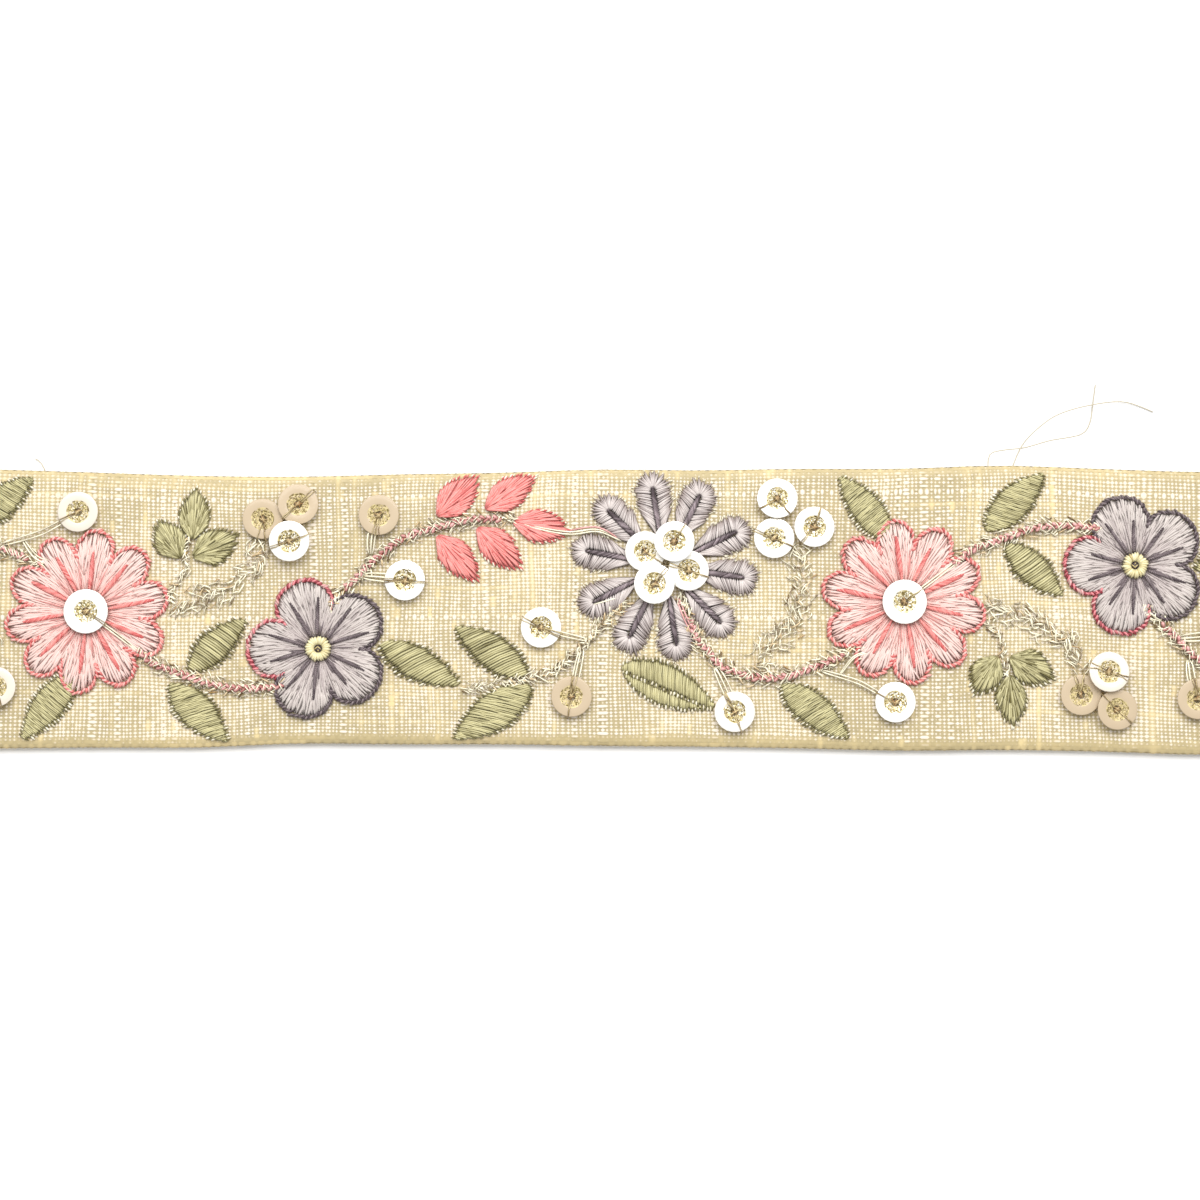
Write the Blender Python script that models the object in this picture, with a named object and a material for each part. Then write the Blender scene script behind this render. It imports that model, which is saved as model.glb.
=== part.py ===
"""A cut length of sequin embroidered ribbon.

The ribbon is woven cloth with both long edges folded under. It lies face up on its two
hems: +X runs along it, +Y across it and the face looks up +Z. The length is one whole
repeat of the border, which is two half repeats, the second one mirrored across the
ribbon. Flowers, leaves and stems are raised on the face and fused with the cloth. Each
sequin is a piece of its own.
"""

import math

import bmesh
import bpy
from mathutils import Matrix, Vector

MM = 0.001

# Driving sizes of the cloth, in metres
LENGTH = 204 * MM
CLOTH_THICKNESS = 1.0 * MM
HEM_THICKNESS = 0.35 * MM
HEM_DEPTH = 9.0 * MM
FACE_Z = CLOTH_THICKNESS + HEM_THICKNESS
FOLD_RADIUS = FACE_Z / 2
FOLD_STEPS = 6
SECTION_STEP = 5.1 * MM

# Where the two long edges run, in millimetres from the middle line
EDGE_COLUMNS = ("along", "top", "bottom")
EDGES = (
    (-102.0, 17.5, -17.3),
    (-86.0, 17.7, -17.4),
    (-70.8, 17.6, -17.3),
    (-58.3, 17.2, -17.2),
    (-45.8, 16.8, -17.2),
    (-33.3, 16.7, -16.7),
    (-20.8, 17.0, -16.8),
    (-8.3, 17.2, -16.8),
    (4.3, 17.6, -17.0),
    (16.8, 17.5, -17.1),
    (29.3, 17.7, -17.3),
    (41.8, 17.7, -17.6),
    (54.3, 18.1, -17.5),
    (66.8, 17.7, -17.7),
    (79.3, 17.3, -18.1),
    (91.0, 17.4, -17.9),
    (102.0, 17.6, -17.6),
)

# The repeat of the border
HALF_REPEAT = 102 * MM
FIRST_FLOWER_X = -59.8 * MM
MIRROR_LINE_Y = 0.28 * MM
HALF_REPEATS = (-1, 0, 1)
STITCH_END = LENGTH / 2 - 0.2 * MM

# Heights above the face and depths below it
FLOWER_RELIEF = 0.50 * MM
FLOWER_EDGE = 0.25 * MM
FLOWER_MIDDLE = 0.35 * MM
LEAF_RELIEF = 0.45 * MM
STEM_RELIEF = 0.40 * MM
RIM_RELIEF = 0.20 * MM
STEM_RIM = 0.12 * MM
MIDDLE_RELIEF = 0.30 * MM
FLOWER_ROOT = 0.45 * MM
LEAF_ROOT = 0.40 * MM
STEM_ROOT = 0.35 * MM
MIDDLE_ROOT = 0.50 * MM

# Shares of a pad's reach at which its crown lies
SHOULDER_SHARE = 0.78
MIDDLE_SHARE = 0.30
CROWN_SHARE = 0.45
CROWN_ENDS = (0.15, 0.85)
PETAL_BASE_SHARE = 0.45
LEAF_STATIONS = (0.12, 0.32, 0.55, 0.80)
MIDDLE_SIDES = 20
UNEVEN_RELIEF = 0.02 * MM
LEAST_PAD = 0.8 * MM

# Places in a half repeat are millimetres from the middle of its pink flower and from
# the mirror line. Angles are degrees from +X towards +Y.
ROUND_FLOWER_COLUMNS = ("u", "v", "petals", "first_axis", "outer", "notch", "steps", "colour")
ROUND_FLOWERS = (
    (0.0, -0.6, 10, 83, 10.3, 7.2, 6, "pink"),
    (28.9, -5.2, 5, 36, 8.9, 5.6, 10, "violet"),
)

LOOP_FLOWER = {
    "u": 72.1,
    "v": 5.1,
    "petals": 10,
    "first_axis": 27,
    "outer": 11.8,
    "inner": 4.0,
    "width": 4.2,
    "middle": 4.6,
}

LEAF_COLUMNS = ("base_u", "base_v", "tip_u", "tip_v", "width", "colour")
LEAVES = (
    (100.5, 8.3, 94.1, 16.4, 4.0, "green"),
    (86.7, -9.7, 95.0, -16.3, 4.1, "green"),
    (13.1, 8.5, 13.5, 14.9, 3.8, "green"),
    (11.6, 6.2, 8.7, 10.8, 4.0, "green"),
    (13.2, 6.3, 18.7, 9.0, 4.3, "green"),
    (12.8, -7.8, 19.8, -1.5, 4.1, "green"),
    (10.4, -9.7, 17.6, -16.7, 4.3, "green"),
    (36.5, -4.7, 46.6, -9.7, 4.3, "green"),
    (55.0, -8.5, 45.9, -2.5, 4.5, "green"),
    (55.5, -10.0, 45.9, -16.4, 4.8, "green"),
    (66.8, -7.3, 78.3, -12.4, 5.0, "green"),
    (43.7, 11.4, 48.8, 16.4, 4.1, "coral"),
    (49.7, 12.3, 55.9, 16.4, 3.8, "coral"),
    (43.7, 8.9, 48.8, 3.3, 3.8, "coral"),
    (48.7, 9.9, 54.2, 4.8, 4.0, "coral"),
    (53.2, 10.7, 60.4, 9.5, 4.0, "coral"),
)

# Each stem is a width in millimetres and the points that it runs through
STEMS = {
    "pink_to_violet": (
        1.5,
        ((6.6, -5.5), (8.4, -7.1), (12.0, -8.4), (15.8, -9.7), (19.6, -10.2), (24.5, -9.9)),
    ),
    "sprig": (0.9, ((9.0, 1.5), (12.0, 3.9), (12.3, 6.4), (12.7, 8.7))),
    "spray": (1.0, ((9.0, 0.3), (15.1, 1.2), (18.5, 3.2), (20.1, 4.6), (21.4, 6.2))),
    "violet_to_coral": (
        1.5,
        ((30.3, -0.4), (31.6, 1.8), (35.6, 5.7), (39.7, 8.7), (43.8, 10.0), (48.4, 11.0), (53.5, 11.0)),
    ),
    "coral_to_grey": (0.6, ((53.5, 11.0), (56.1, 10.0), (60.2, 9.3), (63.8, 9.6), (65.8, 8.9))),
    "grey_to_leaves": (
        1.3,
        ((67.9, 0.8), (63.8, -2.8), (59.9, -6.8), (56.6, -8.7), (53.0, -9.2), (47.0, -10.2)),
    ),
    "grey_to_pink": (
        1.6,
        ((74.4, 0.3), (76.0, -3.8), (79.1, -7.4), (84.2, -8.9), (91.8, -7.1), (96.9, -5.1)),
    ),
    "fern": (1.4, ((89.1, 6.4), (89.2, 2.3), (87.7, -2.8), (83.4, -7.1))),
}
STEM_STEP = 3.4 * MM

# Lift is from the face to the sequin's underside, in millimetres. A tilted sequin has
# its raised side towards lean, in degrees.
SEQUIN_COLUMNS = ("u", "v", "diameter", "lift", "tilt", "lean")
SEQUINS = (
    (0.0, -0.6, 5.5, 0.65, 0, 0),
    (21.9, 11.0, 5.0, 0.30, 0, 0),
    (26.3, 12.8, 5.0, 0.60, 6, 200),
    (25.3, 8.2, 5.0, 1.10, 6, 110),
    (36.4, 11.5, 5.0, 0.30, 0, 0),
    (39.7, 3.3, 5.0, 0.30, 0, 0),
    (56.7, -2.6, 5.0, 0.30, 0, 0),
    (60.5, -11.2, 5.0, 0.30, 0, 0),
    (69.7, 6.9, 5.0, 0.60, 0, 0),
    (73.3, 8.1, 5.0, 1.25, 2, 90),
    (70.8, 2.8, 5.0, 1.25, 2, 250),
    (75.1, 4.5, 5.0, 0.60, 0, 0),
    (86.2, 13.5, 5.0, 0.60, 6, 270),
    (85.8, 8.6, 5.0, 0.30, 0, 0),
    (90.8, 10.0, 5.0, 0.45, 3, 150),
    (80.8, -13.1, 5.0, 0.30, 0, 0),
    (100.8, -11.9, 5.0, 0.30, 0, 0),
)
SEQUIN_SIDES = 12
SEQUIN_SHEET = 0.25 * MM
SEQUIN_CUP = 0.30 * MM
SEQUIN_CUP_SHARE = 0.56
SEQUIN_HOLE = 1.1 * MM

# Base colour, roughness and metallic of each finish
FINISHES = {
    "ground_cloth": ((0.80, 0.72, 0.50), 0.65, 0.0),
    "pink": ((0.82, 0.55, 0.47), 0.50, 0.0),
    "violet": ((0.42, 0.36, 0.38), 0.50, 0.0),
    "grey": ((0.47, 0.41, 0.41), 0.50, 0.0),
    "green": ((0.37, 0.36, 0.19), 0.50, 0.0),
    "coral": ((0.79, 0.22, 0.21), 0.50, 0.0),
    "gold_thread": ((0.72, 0.58, 0.35), 0.40, 0.3),
    "sequin": ((0.90, 0.80, 0.60), 0.25, 0.8),
}
CLOTH_FINISHES = ("ground_cloth", "pink", "violet", "grey", "green", "coral", "gold_thread")


def clear_scene():
    for old in list(bpy.data.objects):
        bpy.data.objects.remove(old, do_unlink=True)


def make_finish(name):
    colour, roughness, metallic = FINISHES[name]
    finish = bpy.data.materials.new(name)
    finish.use_nodes = True
    shader = finish.node_tree.nodes["Principled BSDF"]
    shader.inputs["Base Color"].default_value = (*colour, 1.0)
    shader.inputs["Roughness"].default_value = roughness
    shader.inputs["Metallic"].default_value = metallic
    finish.diffuse_color = (*colour, 1.0)
    return finish


def rows(columns, table):
    """Each row of a table as a dictionary."""
    return [dict(zip(columns, values)) for values in table]


def loft(name, rings, finishes, finish):
    """One closed body through rings of equally many points, capped at both ends."""
    shape = bmesh.new()
    loops = [[shape.verts.new(point) for point in ring] for ring in rings]
    count = len(loops[0])
    for lower, upper in zip(loops, loops[1:]):
        for i in range(count):
            j = (i + 1) % count
            shape.faces.new((lower[i], lower[j], upper[j], upper[i]))
    shape.faces.new(loops[0])
    shape.faces.new(loops[-1])
    bmesh.ops.triangulate(shape, faces=shape.faces)
    bmesh.ops.recalc_face_normals(shape, faces=shape.faces)
    mesh = bpy.data.meshes.new(name)
    shape.to_mesh(mesh)
    shape.free()
    for other in finishes:
        mesh.materials.append(other)
    for face in mesh.polygons:
        face.material_index = finish
    piece = bpy.data.objects.new(name, mesh)
    return piece


def smooth_point(a, b, c, d, t):
    """A point between b and c on the smooth curve through a, b, c and d."""
    forward = (c - a) / 2
    onward = (d - b) / 2
    start = (2 * t**3 - 3 * t**2 + 1) * b + (t**3 - 2 * t**2 + t) * forward
    end = (3 * t**2 - 2 * t**3) * c + (t**3 - t**2) * onward
    return start + end


def smooth_route(points, step):
    """Points about a step apart on a smooth curve through the given ones."""
    ends = [2 * points[0] - points[1], *points, 2 * points[-1] - points[-2]]
    route = [points[0]]
    for i in range(1, len(ends) - 2):
        a, b, c, d = ends[i - 1 : i + 3]
        parts = max(1, round((c - b).length / step))
        for k in range(1, parts + 1):
            route.append(smooth_point(a, b, c, d, k / parts))
    return route


def edge_at(along, side):
    """Where a long edge of the cloth runs at this distance along it."""
    sections = rows(EDGE_COLUMNS, EDGES)
    places = [row["along"] * MM for row in sections]
    i = max(0, min(len(places) - 2, sum(place <= along for place in places) - 1))
    near = [max(0, min(len(places) - 1, i + k)) for k in (-1, 0, 1, 2)]
    t = (along - places[i]) / (places[i + 1] - places[i])
    a, b, c, d = (sections[k][side] * MM for k in near)
    return smooth_point(a, b, c, d, t)


def cloth_section(along):
    """The outline of the cloth at one place: its face, two folds and two hems."""
    top = edge_at(along, "top")
    bottom = edge_at(along, "bottom")
    outline = []
    for edge, sign, first in ((top, 1, 90), (bottom, -1, -90)):
        for k in range(FOLD_STEPS + 1):
            turn = math.radians(first - sign * 180 * k / FOLD_STEPS)
            across = edge - sign * FOLD_RADIUS + sign * FOLD_RADIUS * math.cos(turn)
            outline.append((across, FOLD_RADIUS + FOLD_RADIUS * math.sin(turn)))
        hem_end = edge - sign * HEM_DEPTH
        corner = [(hem_end, 0.0), (hem_end, HEM_THICKNESS)]
        if sign > 0:
            outline.extend(corner)
        else:
            half = len(outline) - (FOLD_STEPS + 1)
            outline[half:half] = reversed(corner)
    return [Vector((along, across, height)) for across, height in outline]


def make_cloth(finishes):
    spans = round(LENGTH / SECTION_STEP)
    places = [-LENGTH / 2 + LENGTH * k / spans for k in range(spans + 1)]
    return loft("ribbon", [cloth_section(along) for along in places], finishes, 0)


def place(u, v, repeat):
    """A place in a half repeat, in metres on the ribbon."""
    side = -1 if repeat % 2 else 1
    x = FIRST_FLOWER_X + repeat * HALF_REPEAT + u * MM
    return Vector((x, MIRROR_LINE_Y + side * v * MM))


def turned(angle, repeat):
    """An angle of a half repeat, in radians on the ribbon."""
    return math.radians(-angle if repeat % 2 else angle)


def on_cloth(point):
    """A plan point, kept on the cut length of cloth."""
    return Vector((max(-STITCH_END, min(STITCH_END, point.x)), point.y))


def ring_at(points, height):
    return [Vector((point.x, point.y, FACE_Z + height)) for point in map(on_cloth, points)]


def round_flower_pad(row, repeat, finishes):
    """A scalloped pad whose petals are crowned, with shallow grooves between them."""
    middle = place(row["u"], row["v"], repeat)
    columns = row["petals"] * row["steps"]
    spokes = []
    for k in range(columns):
        swing = math.cos(math.pi * k / row["steps"])
        crown = math.sqrt(abs(swing))
        reach = row["notch"] + (row["outer"] - row["notch"]) * crown
        turn = turned(row["first_axis"] + 360 * k / columns, repeat)
        spokes.append((Vector((math.cos(turn), math.sin(turn))) * reach * MM, crown))

    def ring(share, low, high):
        points = [on_cloth(middle + spoke * share) for spoke, crown in spokes]
        heights = [low + (high - low) * crown for spoke, crown in spokes]
        return [Vector((p.x, p.y, FACE_Z + h)) for p, h in zip(points, heights)]

    rings = [
        ring(1.0, -FLOWER_ROOT, -FLOWER_ROOT),
        ring(1.0, FLOWER_EDGE / 2, FLOWER_EDGE),
        ring(SHOULDER_SHARE, FLOWER_EDGE, FLOWER_RELIEF),
        ring(MIDDLE_SHARE, FLOWER_MIDDLE, FLOWER_MIDDLE),
    ]
    finish = CLOTH_FINISHES.index(row["colour"])
    return loft(f"pad_{row['colour']}_flower_{repeat}", rings, finishes, finish)


def pad(name, outline, axis_start, axis_end, root, relief, finishes, colour):
    """A crowned pad: its outline, and a narrower ring drawn in towards its axis."""
    axis = axis_end - axis_start
    crown = []
    for point in outline:
        along = (point - axis_start).dot(axis) / axis.length_squared
        foot = axis_start + axis * max(CROWN_ENDS[0], min(CROWN_ENDS[1], along))
        crown.append(foot + (point - foot) * CROWN_SHARE)
    rings = [ring_at(outline, -root), ring_at(outline, RIM_RELIEF), ring_at(crown, relief)]
    return loft(name, rings, finishes, CLOTH_FINISHES.index(colour))


def loop_flower_pads(repeat, finishes):
    """Ten petals that stand apart, on a low round middle."""
    flower = LOOP_FLOWER
    middle = place(flower["u"], flower["v"], repeat)
    pads = []
    length = (flower["outer"] - flower["inner"]) * MM
    half_width = flower["width"] / 2 * MM
    for k in range(flower["petals"]):
        turn = turned(flower["first_axis"] + 360 * k / flower["petals"], repeat)
        along = Vector((math.cos(turn), math.sin(turn)))
        across = Vector((-along.y, along.x))
        start = middle + along * flower["inner"] * MM
        foot = across * half_width * PETAL_BASE_SHARE
        outline = [start - foot, start + foot]
        for step in range(7):
            bend = math.radians(90 - 30 * step)
            round_end = start + along * (length - half_width) + along * half_width * math.cos(bend)
            outline.append(round_end + across * half_width * math.sin(bend))
        relief = FLOWER_RELIEF - UNEVEN_RELIEF * (k % 2)
        tip = start + along * length
        name = f"pad_grey_petal_{repeat}_{k}"
        pads.append(pad(name, outline, start, tip, LEAF_ROOT, relief, finishes, "grey"))
    disc = []
    for k in range(MIDDLE_SIDES):
        turn = 2 * math.pi * k / MIDDLE_SIDES
        disc.append(middle + Vector((math.cos(turn), math.sin(turn))) * flower["middle"] * MM)
    rings = [ring_at(disc, -MIDDLE_ROOT), ring_at(disc, MIDDLE_RELIEF)]
    pads.append(loft(f"pad_grey_middle_{repeat}", rings, finishes, CLOTH_FINISHES.index("grey")))
    return pads


def leaf_pad(number, row, repeat, finishes):
    """A satin leaf, pointed at its tip and narrow at its base."""
    base = place(row["base_u"], row["base_v"], repeat)
    tip = place(row["tip_u"], row["tip_v"], repeat)
    axis = tip - base
    across = Vector((-axis.y, axis.x)).normalized()
    half_width = row["width"] / 2 * MM
    left = []
    right = []
    for share in LEAF_STATIONS:
        swell = math.sin(math.pi * share**0.85) ** 0.8
        left.append(base + axis * share + across * half_width * swell)
        right.append(base + axis * share - across * half_width * swell)
    outline = [base, *right, tip, *reversed(left)]
    name = f"pad_leaf_{repeat}_{number}"
    return pad(name, outline, base, tip, LEAF_ROOT, LEAF_RELIEF, finishes, row["colour"])


def stem_pad(name, width, points, repeat, finishes):
    """A low rounded ridge along a stem, or None where the stem is off the cloth."""
    route = smooth_route([place(u, v, repeat) for u, v in points], STEM_STEP)
    route = [point for point in route if abs(point.x) < STITCH_END]
    if len(route) < 2:
        return None
    half = width / 2 * MM
    left = ((-half, -STEM_ROOT), (-half, STEM_RIM))
    right = ((half, STEM_RIM), (half, -STEM_ROOT))
    section = (*left, (0.0, STEM_RELIEF), *right)
    rings = []
    for i, point in enumerate(route):
        ahead = route[min(i + 1, len(route) - 1)] - route[max(i - 1, 0)]
        across = Vector((-ahead.y, ahead.x)).normalized()
        rings.append([Vector((*(point + across * side), FACE_Z + height)) for side, height in section])
    return loft(f"pad_{name}_{repeat}", rings, finishes, CLOTH_FINISHES.index("gold_thread"))


def reaches_cloth(piece):
    """Whether a pad lies on the cut length, or only past one of its ends."""
    along = [vertex.co.x for vertex in piece.data.vertices]
    return max(along) - min(along) > LEAST_PAD


def make_embroidery(finishes):
    pads = []
    for repeat in HALF_REPEATS:
        for row in rows(ROUND_FLOWER_COLUMNS, ROUND_FLOWERS):
            if abs(place(row["u"], row["v"], repeat).x) < LENGTH / 2:
                pads.append(round_flower_pad(row, repeat, finishes))
        if abs(place(LOOP_FLOWER["u"], LOOP_FLOWER["v"], repeat).x) < LENGTH / 2:
            pads.extend(loop_flower_pads(repeat, finishes))
        for number, row in enumerate(rows(LEAF_COLUMNS, LEAVES)):
            base = place(row["base_u"], row["base_v"], repeat)
            tip = place(row["tip_u"], row["tip_v"], repeat)
            if abs((base + tip).x / 2) < STITCH_END:
                pads.append(leaf_pad(number, row, repeat, finishes))
        for name, (width, points) in STEMS.items():
            stem = stem_pad(name, width, points, repeat, finishes)
            if stem:
                pads.append(stem)
    return [piece for piece in pads if reaches_cloth(piece)]


def fuse(cloth, pads):
    """Joins the pads with the cloth into one body. The pads stay as hidden guides."""
    guides = bpy.data.collections.new("embroidery_pads")
    bpy.context.scene.collection.children.link(guides)
    for piece in pads:
        guides.objects.link(piece)
        piece.hide_render = True
        piece.display_type = "WIRE"
    union = cloth.modifiers.new("embroidery", "BOOLEAN")
    union.operation = "UNION"
    union.operand_type = "COLLECTION"
    union.collection = guides
    union.solver = "EXACT"


def sequin_mesh(diameter, finish):
    """A punched disc with a flat rim and a shallow cup round its hole."""
    rim = diameter / 2
    cup = rim * SEQUIN_CUP_SHARE
    hole = SEQUIN_HOLE / 2
    profile = (
        (hole, 0.0),
        (cup, SEQUIN_CUP),
        (rim, SEQUIN_CUP),
        (rim, SEQUIN_CUP + SEQUIN_SHEET),
        (cup, SEQUIN_CUP + SEQUIN_SHEET),
        (hole, SEQUIN_SHEET),
    )
    shape = bmesh.new()
    rings = []
    for k in range(SEQUIN_SIDES):
        turn = 2 * math.pi * k / SEQUIN_SIDES
        rings.append([shape.verts.new((r * math.cos(turn), r * math.sin(turn), z)) for r, z in profile])
    for k, ring in enumerate(rings):
        following = rings[(k + 1) % SEQUIN_SIDES]
        for i in range(len(profile)):
            j = (i + 1) % len(profile)
            shape.faces.new((ring[i], following[i], following[j], ring[j]))
    bmesh.ops.recalc_face_normals(shape, faces=shape.faces)
    mesh = bpy.data.meshes.new("sequin")
    shape.to_mesh(mesh)
    shape.free()
    mesh.materials.append(finish)
    mesh.shade_smooth()
    mesh.set_sharp_from_angle(angle=math.radians(30))
    return mesh


def make_sequins(finish):
    """Every sequin whose whole disc lies on the cut length."""
    meshes = {}
    number = 0
    for repeat in HALF_REPEATS:
        for row in rows(SEQUIN_COLUMNS, SEQUINS):
            spot = place(row["u"], row["v"], repeat)
            diameter = row["diameter"] * MM
            if abs(spot.x) + diameter / 2 > LENGTH / 2:
                continue
            number += 1
            if diameter not in meshes:
                meshes[diameter] = sequin_mesh(diameter, finish)
            sequin = bpy.data.objects.new(f"sequin_{number:02d}", meshes[diameter])
            bpy.context.scene.collection.objects.link(sequin)
            lean = turned(row["lean"], repeat)
            hinge = Vector((math.sin(lean), -math.cos(lean), 0.0))
            sequin.rotation_euler = Matrix.Rotation(math.radians(row["tilt"]), 3, hinge).to_euler()
            sequin.location = (spot.x, spot.y, FACE_Z + row["lift"] * MM)


def main():
    clear_scene()
    finishes = {name: make_finish(name) for name in FINISHES}
    cloth_finishes = [finishes[name] for name in CLOTH_FINISHES]
    cloth = make_cloth(cloth_finishes)
    bpy.context.scene.collection.objects.link(cloth)
    fuse(cloth, make_embroidery(cloth_finishes))
    make_sequins(finishes["sequin"])


main()
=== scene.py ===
"""The looks of a cut length of sequin embroidered ribbon.

Every yarn of the weave, every stitch and every sequin is a shape of its own. Places are
worked out in millimetres and become metres when a mesh is made. +X runs along the ribbon,
+Y across it and +Z up out of the embroidered face. The border is drawn once, for a half
repeat, and is laid on the ribbon three times, every other time mirrored.
"""

import math

import bpy
import numpy as np
from mathutils import Matrix, Vector


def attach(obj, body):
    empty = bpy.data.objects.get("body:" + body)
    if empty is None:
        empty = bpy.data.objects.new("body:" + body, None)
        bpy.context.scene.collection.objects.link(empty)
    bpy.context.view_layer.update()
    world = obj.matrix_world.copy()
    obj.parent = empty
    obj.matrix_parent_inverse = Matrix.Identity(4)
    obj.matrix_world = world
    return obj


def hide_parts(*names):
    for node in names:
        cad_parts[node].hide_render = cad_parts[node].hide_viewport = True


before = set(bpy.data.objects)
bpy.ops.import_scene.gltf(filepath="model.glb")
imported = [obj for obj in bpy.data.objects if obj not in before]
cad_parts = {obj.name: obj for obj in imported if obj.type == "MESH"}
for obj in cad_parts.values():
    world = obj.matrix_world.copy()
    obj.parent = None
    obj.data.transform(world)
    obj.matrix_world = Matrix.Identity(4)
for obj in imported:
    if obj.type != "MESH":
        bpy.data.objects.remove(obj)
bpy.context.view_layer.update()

bl_info = {
    "name": "Sequin embroidered ribbon",
    "version": (1, 0, 0),
    "blender": (4, 5, 0),
    "location": "View3D > Sidebar > Ribbon",
    "description": "Weaves, embroiders and trims a cut length of ribbon",
    "category": "Add Mesh",
}

MM = 0.001

# The cloth of the CAD part, in millimetres
LENGTH = 204.0
FACE_Z = 1.35
HEM_DEPTH = 9.0
SECTIONS = 40

# The repeat of the border, in millimetres
HALF_REPEAT = 102.0
FIRST_FLOWER_X = -59.8
MIRROR_LINE_Y = 0.28
HALF_REPEATS = (-1, 0, 1)

# How far the yarns and the sheet under them stop short of a cut end, and where stitches stop
YARN_END_GAP = 0.3
SHEET_END_GAP = 0.05
STITCH_END = LENGTH / 2 - YARN_END_GAP

# How far inside the folds of the yarns the sheet turns, how far under the face of the CAD part
# the yarns cross, and how flat a yarn is
SHEET_INSET = 0.12
YARN_DEPTH = 0.075
YARN_FLATNESS = 0.11

# The thickness of a CAD sequin, and the share of a disc that its cup takes
CAD_FILM = 0.25
CUP_SHARE = 0.56

# How far from the middle the tilted facets start and end, and how far out a facet can glint
FACET_START = 0.65
FACET_END = 1.3
GLINT_END = 1.42

# The diameter of the sequin in a pink flower, and how white the other sequins of the outer
# half repeats are beside those of the middle one, as painted shade on the outer ones
FLOWER_SEQUIN = 5.5
OUTER_SEQUIN_LIGHT = 0.45

# Places in a half repeat are millimetres from the middle of its pink flower and from the
# mirror line. Angles are degrees from +X towards +Y.
PINK_FLOWER = {"u": 0.0, "v": -0.6, "petals": 10, "first_axis": 83, "outer": 10.2, "notch": 6.6}
VIOLET_FLOWER = {"u": 28.9, "v": -5.2, "petals": 5, "first_axis": 36, "outer": 8.8, "notch": 5.2}
GREY_FLOWER = {
    "u": 72.1,
    "v": 5.1,
    "petals": 10,
    "first_axis": 27,
    "slit_start": 4.2,
    "slit_end": 9.7,
    "half_width": 2.2,
}
PINK_EDGED_PETALS = (1, 2)

# Slant is the direction of the stitches. A fine leaf has its stitches broken in two, a split
# one is parted along its length, and a fan has them spread from its base.
LEAF_COLUMNS = ("base_u", "base_v", "tip_u", "tip_v", "width", "colour", "kind", "slant")
LEAVES = (
    (100.5, 8.3, 94.1, 16.4, 4.0, "green", "fine", 40),
    (86.7, -9.7, 95.0, -16.3, 4.1, "green", "fine", 32),
    (13.1, 8.5, 13.5, 14.9, 3.8, "green", "fan", 0),
    (11.6, 6.2, 8.7, 10.8, 4.0, "green", "fan", 0),
    (13.2, 6.3, 18.7, 9.0, 4.3, "green", "fan", 0),
    (12.8, -7.8, 19.8, -1.5, 4.1, "green", "satin", -35),
    (10.4, -9.7, 17.6, -16.7, 4.3, "green", "fine", 18),
    (36.5, -4.7, 46.6, -9.7, 4.3, "green", "satin", 28),
    (55.0, -8.5, 45.9, -2.5, 4.5, "green", "satin", 25),
    (55.5, -10.0, 45.9, -16.4, 4.8, "green", "fine", -13),
    (66.8, -7.3, 78.3, -12.4, 5.0, "green", "split", 88),
    (43.7, 11.4, 48.8, 16.4, 4.1, "coral", "fan", 0),
    (49.7, 12.3, 55.9, 16.4, 3.8, "coral", "fan", 0),
    (43.7, 8.9, 48.8, 3.3, 3.8, "coral", "fan", 0),
    (48.7, 9.9, 54.2, 4.8, 4.0, "coral", "fan", 0),
    (53.2, 10.7, 60.4, 9.5, 4.0, "coral", "fan", 0),
)

# Each round of a fan leaf is its number of stitches, where they start and end on the way out,
# and their lift
FAN_ROUNDS = ((40, 0.5, 1.0, 0.0), (30, 0.22, 0.74, 0.02), (18, 0.0, 0.46, 0.03))

# Each round of a petal's fill is where its stitches start and end on the way out, and the
# girth that they fill
FILL_ROUNDS = ((0.0, 0.4, 4.0), (0.2, 0.6, 5.8), (0.42, 0.82, 7.6), (0.64, 1.0, 9.4))

# Coral is the share of a braid's length where its coral core starts and ends. Openness is how
# far apart its gold stitches are.
BRAID_COLUMNS = ("width", "coral", "openness", "points")
BRAIDS = (
    (
        1.9,
        (0.0, 1.0),
        1.0,
        ((6.6, -5.5), (8.4, -7.1), (12.0, -8.4), (15.8, -9.7), (19.6, -10.2), (24.5, -9.9)),
    ),
    (1.0, (0.0, 0.0), 1.4, ((10.2, 1.8), (12.0, 3.9), (12.3, 6.4), (12.7, 8.7))),
    (
        2.8,
        (0.0, 0.0),
        1.15,
        ((10.0, 0.4), (15.1, 1.2), (18.5, 3.2), (20.1, 4.6), (21.4, 6.2), (21.9, 8.3)),
    ),
    (
        1.8,
        (0.12, 0.95),
        1.0,
        (
            (30.3, -0.2),
            (31.6, 1.8),
            (33.3, 3.3),
            (35.6, 5.7),
            (37.7, 7.4),
            (39.7, 8.7),
            (42.0, 9.5),
            (43.8, 10.0),
            (48.4, 11.0),
            (53.5, 11.0),
        ),
    ),
    (
        1.6,
        (0.0, 0.0),
        1.1,
        (
            (67.9, 0.8),
            (65.3, -1.2),
            (63.8, -2.8),
            (62.3, -4.6),
            (59.9, -6.8),
            (56.6, -8.7),
            (53.0, -9.2),
            (47.0, -10.2),
        ),
    ),
    (
        2.0,
        (0.12, 0.92),
        1.0,
        (
            (73.7, 1.8),
            (75.5, -2.0),
            (76.0, -3.8),
            (77.6, -5.6),
            (79.1, -7.4),
            (81.7, -8.4),
            (84.2, -8.9),
            (87.3, -8.7),
            (91.8, -7.1),
            (94.3, -6.1),
            (96.9, -5.1),
        ),
    ),
    (
        3.2,
        (0.0, 0.0),
        1.2,
        ((88.9, 7.7), (89.2, 5.4), (89.2, 2.3), (88.7, -0.7), (87.7, -2.8), (85.4, -5.1), (83.4, -7.1)),
    ),
)

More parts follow.
